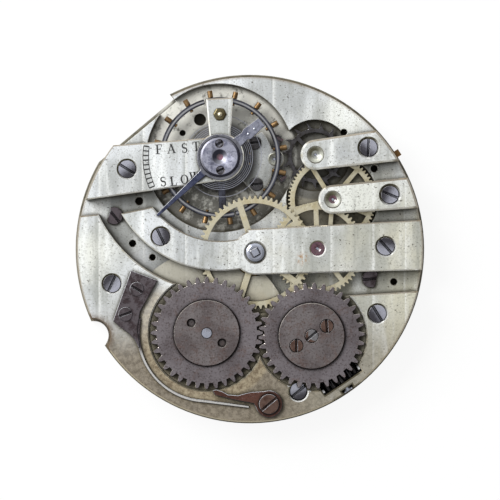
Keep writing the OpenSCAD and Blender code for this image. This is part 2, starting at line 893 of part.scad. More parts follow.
module jewel(p, r, hole, z0, z1, cup) {
    difference() {
        disc(p, r, z0, z1);
        disc(p, hole, z0 - 1, z1 + 1);
        at(p, z1 - cup) cylinder(r1 = hole, r2 = hole + 2.6 * cup, h = cup + 0.001);
    }
}

module train_jewels() {
    hole = pivot_r + run_clear;
    color(ruby) {
        jewel(third, jewel_r, hole, centre_under, bridge_top - 0.15, 0.12);
        jewel(fourth, jewel_r, hole, bridge_top - 0.15 - bridge_t, bridge_top - 0.15, 0.12);
        jewel(escape, jewel_r, hole, bridge_top - 0.15 - bridge_t, bridge_top - 0.15, 0.12);
        jewel(pallet, small_jewel_r, hole, pallet_under, pallet_top - 0.03, 0.08);
    }
}

module balance_jewels() {
    hole = staff_pivot_r + run_clear;
    color(ruby) {
        jewel(balance, jewel_r, hole, cock_top - 0.7, cock_top - 0.3, 0.1);
        jewel(balance, lower_jewel_r, hole, sink_floor - 0.4, sink_floor - 0.05, 0.1);
    }
}

module end_stones() {
    color(ruby) {
        disc(balance, jewel_r, cock_top - 0.25, cock_top);
        disc(balance, lower_jewel_r, sink_floor - 0.7, sink_floor - 0.45);
    }
}

// Balance end piece and its screws
function end_screw_places() = [for (a = [92, 272]) balance + polar(1.62, a)];

module balance_end_piece() {
    color(blue_steel) difference() {
        union() {
            disc(balance, regulator_in - run_clear, cock_top, end_flange_z + 0.01);
            disc(balance, end_piece_r, end_flange_z, end_flange_z + end_piece_t - 0.12);
            at(balance, end_flange_z + end_piece_t - 0.121)
                cylinder(r1 = end_piece_r, r2 = end_piece_r - 0.22, h = 0.121);
        }
        disc(balance, 0.4, 0, yard);
        at(balance, end_flange_z + end_piece_t - 0.25) cylinder(r1 = 0.4, r2 = 0.95, h = 0.251);
        for (p = end_screw_places()) {
            disc(p, small_r + seat_clear, 0, yard);
            disc(p, small_r + 0.17, end_flange_z + end_piece_t - small_head_h, yard);
        }
    }
}

module end_piece_screws() {
    seat = end_flange_z + end_piece_t - small_head_h;
    color(steel) for (p = end_screw_places())
        screw(p, seat, small_r + 0.15, small_head_h - 0.03, small_r, cock_top - 0.5, 25);
}

// Hairspring, stud, banking and rim pins
function stud_place() = balance + polar(hairspring_r, stud_a);
function banking_place(side) =
    let (bear = bearing(pallet, balance))
    let (off = lever_half_w + banking_x * sin(fork_swing) + banking_r + 0.06)
        pallet + polar(banking_x, bear) + polar(side * off, bear + 90);

module hairspring_stud() {
    color(brass) difference() {
        union() {
            disc(stud_place(), stud_hole_r, cock_under - 0.1, cock_top - 0.1);
            disc(stud_place(), 0.3, spring_z - 0.05, cock_under);
            at(stud_place(), cock_top - 0.101) cylinder(r1 = stud_hole_r, r2 = 0.35, h = 0.2);
        }
        at(stud_place(), spring_z - face_clear)
            translate([-0.2, -hairspring_w / 2 - seat_clear, 0])
                cube([2, hairspring_w + 2 * seat_clear, hairspring_h + 2 * face_clear]);
    }
}

// Ribbon wound as one spiral, 24 rings to a coil
rings_per_coil = 24;
spring_rings = hairspring_coils * rings_per_coil;
spring_start = 1 / rings_per_coil / 12;

function spring_turn(i) = spring_start + i / rings_per_coil;
function spring_point(i, side) = let (t = spring_turn(i))
    balance + polar(spring_radius(t) + side * hairspring_w / 2, stud_a - 360 * t);

spring_count = floor(spring_rings - 2 * spring_start * rings_per_coil);
spring_line = concat(
    [for (i = [0:spring_count]) spring_point(i, 1)],
    [for (i = [spring_count:-1:0]) spring_point(i, -1)]
);

// Least gap between neighbouring coils, measured on the points of the ribbon
spring_gap = min([
    for (i = [0:spring_count - rings_per_coil])
        norm(spring_point(i, -1) - spring_point(i + rings_per_coil, 1))
]);
echo(least_gap_between_hairspring_coils = spring_gap);

module hairspring() {
    color(steel) slab(spring_z, spring_z + hairspring_h) outline(spring_line);
}

module banking_pins() {
    color(brass) for (side = [-1, 1])
        disc(banking_place(side), banking_r, sink_floor - 0.5, escape_z + fork_t + 0.05);
}

module rim_pin_shape(grow) {
    at(middle) rotate(33) translate([plate_r - 1.4, -0.42 - grow, flange_t + 0.35 - grow])
        cube([2.2 + grow, 0.84 + 2 * grow, 0.84 + 2 * grow]);
}

module rim_pin() {
    color(brass) rim_pin_shape(0);
}

// Crown wheel core and its screws
function core_screw_places() =
    [for (k = [-1:1]) crown + polar(k * core_screw_orbit, core_screw_a)];

module crown_wheel_core() {
    flange_z = winding_top + face_clear;
    color(rust_steel) difference() {
        union() {
            disc(crown, core_hub_r, winding_floor, flange_z + 0.1);
            disc(crown, cap_r, flange_z, flange_z + cap_t);
        }
        for (p = core_screw_places()) {
            disc(p, small_r + seat_clear, 0, yard);
            disc(p, core_screw_r + 0.03, flange_z + cap_t - small_head_h, yard);
        }
    }
}

module crown_core_screws() {
    seat = winding_top + face_clear + cap_t - small_head_h;
    places = core_screw_places();
    angles = [90, 40, 95];
    color(rust_steel) for (i = [0:2])
        screw(places[i], seat, core_screw_r, small_head_h, small_r, winding_floor - 0.5, angles[i]);
}

// Click work
click_z = bridge_top + 0.02;
click_tip = barrel + polar(ratchet_tip + 0.12, -80.5);
click_elbow = [-4.1, -17.5];

module click_outline() {
    difference() {
        union() {
            translate(click_pivot) circle(click_eye_r);
            outline([
                click_pivot + [-0.5, 1.55], [-0.6, -17], [-2.1, -17.4], [-3.3, -17.3],
                click_elbow + [0.05, 0.6], click_tip,
                click_tip + [-0.45, -0.12], click_elbow + [-0.8, 0.15], click_elbow + [1.73, -0.46],
                click_pivot + [-1.87, 0.07], click_pivot + [-1.3, -0.95]
            ]);
        }
        translate(click_pivot) circle(click_boss_r + run_clear);
    }
}

module click() {
    color(rust_steel) slab(click_z, click_z + click_t) click_outline();
}

module click_screw() {
    color(rust_steel) {
        screw(click_pivot, click_z + click_t + 0.03, click_head_r, 0.3, click_boss_r, bridge_top, 40);
        disc(click_pivot, click_boss_r - 0.2, bridge_top - 1.1, bridge_top + 0.1);
    }
}

module click_spring() {
    neck = blade_a0 + 6;
    block = [
        [-15.1, -2.2], [-11.9, -3.4], [-14, -7.2], barrel + polar(blade_r + 0.15, blade_a0 - 9),
        barrel + polar(blade_r, neck), barrel + polar(blade_r + blade_w / 2, neck),
        barrel + polar(blade_r + 0.5, blade_a0 - 1), barrel + polar(blade_r + 1.2, blade_a0 - 6),
        [-16.35, -9.15], [-17.3, -8.3]
    ];
    color(steel) difference() {
        union() {
            slab(bridge_top, bridge_top + block_t) difference() {
                outline(block);
                translate(barrel) circle(blade_r - blade_w / 2);
            }
            slab(bridge_top + 0.02, bridge_top + blade_t) {
                intersection() {
                    difference() {
                        translate(barrel) circle(blade_r + blade_w / 2);
                        translate(barrel) circle(blade_r - blade_w / 2);
                    }
                    wedge(barrel, blade_a0 - 18, blade_a1);
                }
                outline([
                    barrel + polar(blade_r - blade_w / 2, blade_a1 - 1),
                    barrel + polar(blade_r + blade_w / 2, blade_a1 - 1),
                    barrel + [blade_end, -blade_r - 0.83], barrel + [blade_end, -blade_r - 0.55]
                ]);
            }
        }
        for (p = block_screws)
            disc(p, small_r + 0.05, 0, yard);
    }
}

module click_spring_screws() {
    color(steel) for (i = [0, 1])
        screw(block_screws[i], bridge_top + block_t, block_head_r, 0.25, small_r, bridge_top - 0.9, [-30, 20][i]);
}

// Barrel
module barrel_drum() {
    color(brass) difference() {
        union() {
            disc(barrel, drum_r, drum_z0, drum_z1);
            at(barrel, tooth_z) linear_extrude(barrel_tooth_t) gear_outline(barrel_p, barrel_teeth, 0);
        }
        disc(barrel, drum_r - 0.5, cavity_z0, yard);
        disc(barrel, drum_r - 0.35, cover_z, yard);
        disc(barrel, arbor_r + run_clear, 0, yard);
    }
}

module barrel_cover() {
    color(brass) ring(barrel, arbor_r + run_clear, drum_r - 0.35 - seat_clear, cover_z, drum_z1);
}

module mainspring() {
    color(steel) ring(barrel, 3, drum_r - 0.55, cavity_z0 + 0.1, cover_z - 0.1);
}

arbor_square = 1.3;

module barrel_arbor() {
    color(steel) {
        disc(barrel, arbor_low_r, barrel_floor - 0.5, drum_z0 + 0.1);
        disc(barrel, arbor_r, drum_z0, winding_floor);
        disc(barrel, 2.2, cavity_z0 + 0.1, cover_z - 0.1);
        at(barrel, winding_floor - 0.1) translate([-arbor_square / 2, -arbor_square / 2, 0])
            cube([arbor_square, arbor_square, winding_top - winding_floor + 0.1]);
        disc(barrel, 0.6, winding_top - 0.1, winding_top + cap_t + 0.12);
    }
}

module ratchet_wheel() {
    side = arbor_square + 2 * seat_clear;
    color(steel) at(barrel, winding_z) linear_extrude(winding_t) difference() {
        gear_outline(ratchet_p, ratchet_teeth, 0);
        translate([-side / 2, -side / 2]) square(side);
    }
}

module ratchet_cap() {
    color(steel) difference() {
        disc(barrel, cap_r, winding_top, winding_top + cap_t);
        disc(barrel, 0.6 + seat_clear, 0, yard);
        for (s = [-1, 1])
            disc(barrel + polar(s * 2.23, -33), 0.52, winding_top + 0.05, yard);
    }
}

crown_phase = mesh_phase(bearing(barrel, crown), 0, ratchet_teeth, crown_teeth);

module crown_wheel() {
    color(steel) at(crown, winding_z) linear_extrude(winding_t) difference() {
        gear_outline(crown_p, crown_teeth, crown_phase);
        circle(core_hub_r + run_clear);
    }
}

// Winding works
winding_phase = 180 - 360 / winding_teeth * (0.5 - (stem_a - crown_phase) * crown_teeth / 360);

module claw_teeth(r_in, r_out, h, turn) {
    linear_extrude(h) for (i = [0:claw_n - 1])
        rotate(turn + i * 360 / claw_n) intersection() {
            difference() {
                circle(r_out);
                circle(r_in);
            }
            wedge([0, 0], 0, 360 / claw_n / 2 - 6);
        }
}

module winding_pinion() {
    color(steel) difference() {
        union() {
            along_stem(winding_d0) linear_extrude(winding_d1 - winding_d0)
                gear_outline(winding_p, winding_teeth, winding_phase);
            along_stem(winding_d0 - claw_h) claw_teeth(0.95, 1.6, claw_h + 0.1, 0);
        }
        along_stem(winding_d0 - 1) cylinder(r = stem_r + run_clear, h = 4);
    }
}

module winding_stem() {
    inner = room_d0 - stem_pivot_l + 0.1;
    color(blue_steel) {
        along_stem(inner) cylinder(r = stem_pivot_r, h = room_d0 - inner + 0.3);
        along_stem(room_d0 + 0.2) translate([-square_w / 2, -square_w / 2, 0])
            cube([square_w, square_w, clutch_d1 - room_d0 - 0.1]);
        along_stem(clutch_d1 + 0.05) cylinder(r = stem_r, h = stem_end_d - clutch_d1 - 0.05);
    }
}

module sliding_pinion() {
    side = square_w + 2 * run_clear;
    color(steel) difference() {
        union() {
            along_stem(clutch_d0) cylinder(r = clutch_r, h = clutch_l);
            along_stem(clutch_d1 - 0.1) claw_teeth(0.95, 1.6, claw_h + 0.1, 360 / claw_n / 2);
            along_stem(clutch_d0 - 0.25) claw_teeth(1.1, clutch_r - 0.12, 0.35, 0);
        }
        along_stem(groove_d) difference() {
            cylinder(r = clutch_r + 1, h = groove_w);
            cylinder(r = groove_r, h = groove_w);
        }
        along_stem(clutch_d0 - 1) translate([-side / 2, -side / 2, 0]) cube([side, side, 9]);
        along_stem(clutch_d1 - 0.3) cylinder(r = stem_r + 0.06, h = 2);
    }
}

module yoke_outline(grow) {
    pin_place = polar(yoke_d, stem_a);
    along = bearing(yoke_pivot, pin_place);
    translate(yoke_pivot) circle(yoke_w / 2 + 0.25 + grow);
    translate(yoke_pivot) rotate(along) translate([0, -yoke_w / 2 - grow])
        square([yoke_arm + 0.3, yoke_w + 2 * grow]);
}

module yoke() {
    color(steel) difference() {
        union() {
            slab(motion_z, motion_z + motion_t) yoke_outline(0);
            disc(polar(yoke_d, stem_a), yoke_pin_r, motion_z + 0.1, stem_z - groove_r - 0.08);
        }
        disc(yoke_pivot, post_r + run_clear, -1, yard);
    }
}

// Going train
centre_pin_phase = mesh_phase(bearing(barrel, centre), 0, barrel_teeth, centre_leaves);
third_pin_phase = mesh_phase(bearing(centre, third), 0, centre_teeth, third_leaves);
fourth_pin_phase = mesh_phase(bearing(third, fourth), 0, third_teeth, fourth_leaves);
escape_pin_phase = mesh_phase(bearing(fourth, escape), 0, fourth_teeth, escape_leaves);

module pinion(p, pitch, leaves, phase, z0, z1) {
    at(p, z0) linear_extrude(z1 - z0) gear_outline(pitch, leaves, phase);
}

module train_wheel(p, z, pitch, teeth, arm_phase, hub, bore, arm_w) {
    color(brass) at(p, z) linear_extrude(wheel_t)
        wheel_outline(pitch, teeth, 0, 5, arm_phase, hub, bore, arm_w);
}

module centre_wheel() {
    train_wheel(centre, centre_z, centre_p, centre_teeth, 36, 1.6, centre_top_r + seat_clear, 0.75);
}

module centre_arbor() {
    color(steel) {
        disc(centre, centre_r, motion_h, tooth_z);
        pinion(centre, centre_pin_p, centre_leaves, centre_pin_phase, tooth_z - face_clear, third_z - 0.1);
        disc(centre, centre_r, third_z - 0.2, centre_z);
        ring(centre, head_stub_r + seat_clear, centre_top_r, centre_z - 0.1, head_z - 0.01);
        disc(centre, centre_top_r, centre_z - 0.1, head_z - head_stub_l - 0.05);
        disc(centre, cannon_r - 0.35, 0.1, motion_h + 0.1);
    }
}

// Polished head of the hand arbor
head_z = bridge_top - 0.15;
head_r = 1.1;
head_t = 0.4;
head_stub_r = 0.3;
head_stub_l = 0.45;
head_square = 0.9;

module hand_arbor_head() {
    color(steel) {
        disc(centre, head_stub_r, head_z - head_stub_l, head_z + 0.1);
        disc(centre, head_r, head_z, head_z + head_t);
        at(centre, head_z + head_t - 0.001) cylinder(r1 = head_r, r2 = head_r - 0.25, h = 0.15);
        at(centre, head_z + head_t) rotate(30)
            translate([-head_square / 2, -head_square / 2, 0]) cube([head_square, head_square, 0.4]);
    }
}

module cannon_pinion() {
    color(steel) difference() {
        union() {
            disc(centre, cannon_r - 0.08, 0.06, motion_z);
            pinion(centre, cannon_p, cannon_leaves, 0, motion_z - 0.05, motion_z + motion_t + 0.03);
        }
        disc(centre, cannon_r - 0.35 + seat_clear, -1, yard);
    }
}

module third_wheel() {
    train_wheel(third, third_z, third_p, third_teeth, 20, 1, train_arbor_r + seat_clear, 0.6);
}

module third_arbor() {
    color(steel) {
        arbor(third, train_arbor_r, plate_t + 0.1, centre_under - 0.05, third_low, bridge_top - 0.2);
        pinion(third, third_pin_p, third_leaves, third_pin_phase, centre_z - 0.08, centre_z + wheel_t + 0.08);
    }
}

module fourth_wheel() {
    train_wheel(fourth, fourth_z, fourth_p, fourth_teeth, 50, 1, train_arbor_r + seat_clear, 0.55);
}

module fourth_arbor() {
    top = bridge_top - 0.15 - bridge_t;
    color(steel) {
        arbor(fourth, train_arbor_r, fourth_floor + 0.1, top - 0.05, fourth_low, bridge_top - 0.2);
        pinion(fourth, fourth_pin_p, fourth_leaves, fourth_pin_phase, third_z - 0.08, third_z + wheel_t + 0.08);
    }
}

// Escapement
escape_tooth = [[3.35, 0], [3.98, 6.2], [4.15, 9.4], [3.8, 8.2], [3.35, 8.6]];
escape_draw_r = 4.15;

module escape_outline() {
    k = escape_r / escape_draw_r;
    difference() {
        union() {
            difference() {
                outline([for (i = [0:14]) for (t = escape_tooth) polar(t[0] * k, i * 24 + t[1])]);
                circle(2.85 * k);
            }
            circle(0.95);
            for (i = [0:3])
                rotate(45 + 90 * i) translate([0, -0.25]) square([3 * k, 0.5]);
        }
        circle(train_arbor_r + seat_clear);
    }
}

module escape_wheel() {
    color(gold) at(escape, escape_z) linear_extrude(wheel_t) escape_outline();
}

module escape_arbor() {
    top = bridge_top - 0.15 - bridge_t;
    color(steel) {
        arbor(escape, train_arbor_r, sink_floor + 0.1, top - 0.05, escape_low, bridge_top - 0.2);
        pinion(escape, escape_pin_p, escape_leaves, escape_pin_phase, fourth_z - 0.1, fourth_z + wheel_t + 0.1);
    }
}

stone_l = 0.8;
stone_w = 0.34;
stone_gap = 0.24;
stone_a = 30;

// Local frame of the fork: X from the pallet arbor to the escape wheel
module in_fork_frame(z) {
    at(pallet, z) rotate(bearing(pallet, escape)) children();
}

function stone_place(side) =
    let (far = escape_r + stone_gap + stone_l / 2)
        [span(pallet, escape) - far * cos(stone_a), side * far * sin(stone_a)];

module stone_box(side, grow) {
    translate(stone_place(side)) rotate(-side * stone_a)
        translate([-stone_l / 2, -stone_w / 2 - grow]) square([stone_l, stone_w + 2 * grow]);
}

module fork_outline() {
    lever_a = bearing(pallet, balance) - bearing(pallet, escape);
    difference() {
        union() {
            circle(0.75);
            for (side = [-1, 1]) {
                outline([
                    [-0.4, side * 0.3], [0.5, -side * 0.1], stone_place(side) + [0.1, -side * 0.3],
                    stone_place(side) + [-0.5, 0]
                ]);
                translate(stone_place(side)) rotate(-side * stone_a) translate([-0.62, -0.42]) square([0.7, 0.84]);
            }
            rotate(lever_a) {
                translate([0, -lever_half_w]) square([fork_reach - 0.9, 2 * lever_half_w]);
                outline([
                    [fork_reach - 1.5, -lever_half_w], [fork_reach - 0.8, -0.62], [fork_reach - 0.15, -0.62],
                    [fork_reach - 0.15, 0.62], [fork_reach - 0.8, 0.62], [fork_reach - 1.5, lever_half_w]
                ]);
            }
        }
        rotate(lever_a) translate([fork_reach - 0.65, -impulse_r - 0.04]) square([2, 2 * impulse_r + 0.08]);
        for (side = [-1, 1])
            stone_box(side, seat_clear);
        circle(train_arbor_r + seat_clear);
    }
}

module pallet_fork() {
    color(steel) in_fork_frame(escape_z) linear_extrude(fork_t) fork_outline();
}

module pallet_arbor() {
    color(steel) arbor(pallet, train_arbor_r, sink_floor + 0.1, pallet_under - 0.04, escape_low, pallet_top - 0.06);
}

module pallet_stones() {
    color(ruby) for (side = [-1, 1])
        in_fork_frame(escape_z - 0.03) linear_extrude(fork_t + 0.06) stone_box(side, 0);
}

// Balance
rim_in = balance_r - balance_rim_w;
arm_a = 93;
cut_a = 12;

module balance_wheel() {
    color(blue_steel) difference() {
        union() {
            difference() {
                disc(balance, balance_r, rim_z, rim_z + balance_rim_h);
                disc(balance, rim_in, 0, yard);
            }
            at(balance, arm_z) linear_extrude(arm_t) {
                rotate(arm_a) translate([-rim_in - 0.1, -0.45]) square([2 * rim_in + 0.2, 0.9]);
                circle(1.3);
            }
        }
        disc(balance, staff_r + seat_clear, 0, yard);
        for (i = [0, 1])
            at(balance, rim_z - 1) rotate(arm_a + cut_a + 180 * i) translate([rim_in - 0.3, -0.09, 0]) cube([2, 0.18, 3]);
        for (i = [0:balance_screw_n - 1])
            balance_screw_axis(i) translate([0, 0, -1]) cylinder(r = balance_head_r - 0.12 + seat_clear, h = 3);
    }
}

// Local Z along a balance screw, starting inside the rim
module balance_screw_axis(i) {
    a = 9 + i * 360 / balance_screw_n;
    at(balance, rim_z + balance_rim_h / 2) rotate([0, 90, a]) translate([0, 0, rim_in - 0.25]) children();
}

module balance_screws() {
    head_at = balance_rim_w + 0.25;
    color(gold) for (i = [0:balance_screw_n - 1])
        balance_screw_axis(i) difference() {
            union() {
                cylinder(r = balance_head_r - 0.12, h = head_at + 0.1);
                translate([0, 0, head_at + 0.02]) cylinder(r = balance_head_r, h = balance_head_l);
            }
            translate([-0.05, -1, head_at + balance_head_l - 0.15]) cube([0.1, 2, 1]);
        }
}

module balance_staff() {
    color(steel) {
        disc(balance, staff_pivot_r, sink_floor - 0.42, sink_floor + 0.2);
        disc(balance, 0.3, sink_floor + 0.1, roller_z);
        disc(balance, staff_r - 0.1, roller_z - 0.1, arm_z - 0.1);
        disc(balance, staff_r + 0.35, arm_z - 0.2, arm_z);
        disc(balance, staff_r, arm_z - 0.1, spring_z + hairspring_h + 0.1);
        disc(balance, 0.25, spring_z + 0.1, cock_top - 0.75);
        disc(balance, staff_pivot_r, cock_top - 0.8, cock_top - 0.28);
    }
}

module roller() {
    impulse_a = bearing(balance, pallet);
    color(steel) difference() {
        disc(balance, roller_r, roller_z, roller_z + roller_t);
        disc(balance, staff_r - 0.1 + seat_clear, 0, yard);
        disc(balance + polar(impulse_orbit, impulse_a), impulse_r + seat_clear, 0, yard);
        disc(balance + polar(roller_r + 0.05, impulse_a), 0.2, 0, yard);
    }
}

module impulse_jewel() {
    color(ruby) disc(balance + polar(impulse_orbit, bearing(balance, pallet)), impulse_r, escape_z, roller_z + roller_t);
}

module hairspring_collet() {
    color(brass) ring(balance, staff_r + seat_clear, collet_r, spring_z - 0.05, spring_z + hairspring_h + 0.05);
}

// Regulator with its pointer, tail and curb pins
module regulator() {
    color(blue_steel) {
        at(balance, regulator_z) linear_extrude(regulator_t) difference() {
            union() {
                circle(regulator_out);
                rotate(pointer_a)
                    outline([[0, -0.55], [regulator_out + 0.6, -0.42], [pointer_l, -0.17], [pointer_l, 0.17], [regulator_out + 0.6, 0.42], [0, 0.55]]);
                rotate(curb_a)
                    outline([[0, -0.9], [curb_orbit - 1.2, -0.55], [curb_orbit - 0.8, -0.75], [tail_l, -0.6], [tail_l, 0.6], [curb_orbit - 0.8, 0.75], [curb_orbit - 1.2, 0.55], [0, 0.9]]);
            }
            circle(regulator_in);
        }
        for (side = [-1, 1])
            disc(balance + polar(curb_orbit + side * (hairspring_w / 2 + curb_gap + curb_r), curb_a), curb_r, spring_z, regulator_z + 0.1);
    }
}

// Motion work
minute_phase = mesh_phase(stem_a, 0, cannon_leaves, minute_teeth);
hour_phase = mesh_phase(stem_a + 180, 0, minute_leaves, hour_teeth);
setting_phase = mesh_phase(stem_a, minute_phase, minute_teeth, setting_teeth);

module minute_wheel() {
    color(brass) difference() {
        union() {
            pinion(minute, minute_p, minute_teeth, minute_phase, motion_z, motion_z + motion_t);
            pinion(minute, minute_pin_p, minute_leaves, 0, hour_z - 0.04, motion_z + 0.05);
        }
        disc(minute, post_r + run_clear, -1, yard);
    }
}

module hour_wheel() {
    color(brass) difference() {
        union() {
            pinion(centre, hour_p, hour_teeth, hour_phase, hour_z, hour_z + wheel_t);
            disc(centre, pipe_r, 0.06, hour_z + wheel_t);
        }
        disc(centre, cannon_r - 0.08 + run_clear, -1, yard);
    }
}

module setting_wheel() {
    color(steel) difference() {
        pinion(setting, setting_p, setting_teeth, setting_phase, motion_z, motion_z + motion_t);
        disc(setting, post_r + run_clear, -1, yard);
    }
}

translate([-middle_x, -middle_y, 0]) {
    main_plate();
    barrel_bridge();
    centre_bridge();
    fourth_wheel_bar();
    escape_wheel_bar();
    balance_cock();
    pallet_bridge();
    bridge_screws();
    pallet_bridge_screws();
    case_screws();
    steady_pins();
    train_jewels();
    balance_jewels();
    end_stones();
    balance_end_piece();
    end_piece_screws();
    hairspring_stud();
    hairspring();
    banking_pins();
    rim_pin();
    crown_wheel_core();
    crown_core_screws();
    click_spring();
    click_spring_screws();
    click_screw();
    click();
    barrel_drum();
    barrel_cover();
    mainspring();
    barrel_arbor();
    ratchet_wheel();
    ratchet_cap();
    crown_wheel();
    winding_stem();
    winding_pinion();
    sliding_pinion();
    yoke();
    centre_wheel();
    centre_arbor();
    hand_arbor_head();
    cannon_pinion();
    third_wheel();
    third_arbor();
    fourth_wheel();
    fourth_arbor();
    escape_wheel();
    escape_arbor();
    pallet_fork();
    pallet_arbor();
    pallet_stones();
    balance_wheel();
    balance_screws();
    balance_staff();
    roller();
    impulse_jewel();
    hairspring_collet();
    regulator();
    minute_wheel();
    hour_wheel();
    setting_wheel();
}
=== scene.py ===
"""Looks of the pocket watch movement: materials, hairspring, legend, light and camera, in the CAD frame."""

import math

import bpy
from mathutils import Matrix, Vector


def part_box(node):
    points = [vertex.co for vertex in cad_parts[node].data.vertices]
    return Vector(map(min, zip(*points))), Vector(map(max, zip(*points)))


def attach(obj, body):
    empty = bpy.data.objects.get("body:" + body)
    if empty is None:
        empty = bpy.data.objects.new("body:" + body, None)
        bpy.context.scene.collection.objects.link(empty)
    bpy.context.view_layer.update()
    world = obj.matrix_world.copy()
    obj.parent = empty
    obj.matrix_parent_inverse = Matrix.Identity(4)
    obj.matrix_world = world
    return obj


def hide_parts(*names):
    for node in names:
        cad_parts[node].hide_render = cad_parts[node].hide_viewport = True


MM = 0.001

# Places and heights of the CAD model, in millimetres
MIDDLE = (0, 0)
BALANCE = (-3.65, 11.2)
BARREL = (-5.25, -10.2)
THIRD = (8.25, 0.05)
FOURTH = (10.1, 6.05)
ESCAPE = (8.0, 11.5)
PALLET = (3.0, 11.05)
NOTCH = (-19.1, -10.6)
PINION_WINDOW = (10.6, -15.7)
COCK_TOP = 5.2
REGULATOR_TOP = 5.5
BRIDGE_TOP = 5.1
PLATE_TOP = 2.6
JEWEL_TOP = 4.95
SPRING_LOW = 3.7
SPRING_HIGH = 3.95
SPRING_OUT = 5.2
SPRING_BODY = 4.05
SPRING_IN = 0.97
SPRING_HALF = 0.028
SPRING_TURNS = 15
SPRING_STEPS = 48
SPRING_SWEEP = 1.6
STUD_ANGLE = 90
CURB_ANGLE = 39
CURB_ORBITS = (4.44, 5.42)
RIM_HIGHLIGHT_R = 7.08
SCREW_SPACING = 2.4

# Legend and ladder scale of the cock, in millimetres and degrees
INK_HEIGHT = 0.012
LETTER_HEIGHT = 1.14
FAST_TILT = 4
SLOW_TILT = 6
FAST_PLACES = [(-11.1, 12.15), (-9.56, 12.22), (-7.97, 12.3), (-6.54, 12.5)]
SLOW_PLACES = [(-10.56, 8.22), (-9.34, 8.28), (-7.97, 8.5), (-6.76, 8.82)]
SCALE_FROM = 171.7
SCALE_TO = 203.8
SCALE_IN = 8.69
SCALE_OUT = 9.37
SCALE_STEPS = 28
SCALE_RUNGS = 9
SCALE_LINE = 0.08
SCALE_RUNG = 0.15

# Angles of edges in degrees: those that are chamfered, shaded smooth and dissolved
SHARP_ANGLE = 40
SMOOTH_ANGLE = 28
FLAT_ANGLE = 0.5
WELD_DISTANCE = 1e-7

# Camera, key light and floor, in metres and watts
CAMERA_PLACE = (0.00001, -0.00011, 0.305)
CAMERA_LENS = 177.4
CAMERA_SENSOR = 36
KEY_PLACE = (-0.34, 0.24, 0.38)
KEY_SIZE = 0.32
KEY_POWER = 3.4
FLOOR_HALF = 1.5
FLOOR_DROP = 0.00002
FLOOR_DARK_R = 0.0196
FLOOR_WHITE_R = 0.0203
FLOOR_GLOW = 0.9

# Share of a face's turn to the right and upwards that counts as turned to the light
LIGHT_RIGHT = -0.62
LIGHT_UP = 0.78

# Patches of painted shade and painted highlight on the silvering: middle and reach
PAINTED_SHADE_PATCHES = [((-15.5, 7.9), 4.0), ((-7.9, -0.7), 4.5), ((3.7, 18.4), 4.0), ((11.6, 11.9), 3.2)]
PAINTED_HIGHLIGHT_PATCHES = [((-19.2, -0.4), 4.0), ((13.3, 6.3), 4.0), ((11.1, 16.5), 3.2)]
PATCH_CORE = 0.4
PATCH_EDGE = 1.2
RUST_SPOTS = (6.4, -1.2)


def srgb(red, green, blue):
    """A colour written in 0 to 255 as linear light."""
    linear = []
    for value in (red, green, blue):
        share = value / 255
        if share <= 0.04045:
            linear.append(share / 12.92)
        else:
            linear.append(((share + 0.055) / 1.055) ** 2.4)
    return (*linear, 1.0)


def operation_node(tree, kind, operation):
    """A node of a kind that has a choice of operations."""
    node = tree.nodes.new(kind)
    node.operation = operation
    return node


def range_node(tree, low, high, start, end, interpolation="SMOOTHSTEP"):
    """A node that takes values from low to high onto start to end, and holds them beyond."""
    node = tree.nodes.new("ShaderNodeMapRange")
    node.interpolation_type = interpolation
    node.inputs["From Min"].default_value = low
    node.inputs["From Max"].default_value = high
    node.inputs["To Min"].default_value = start
    node.inputs["To Max"].default_value = end
    return node


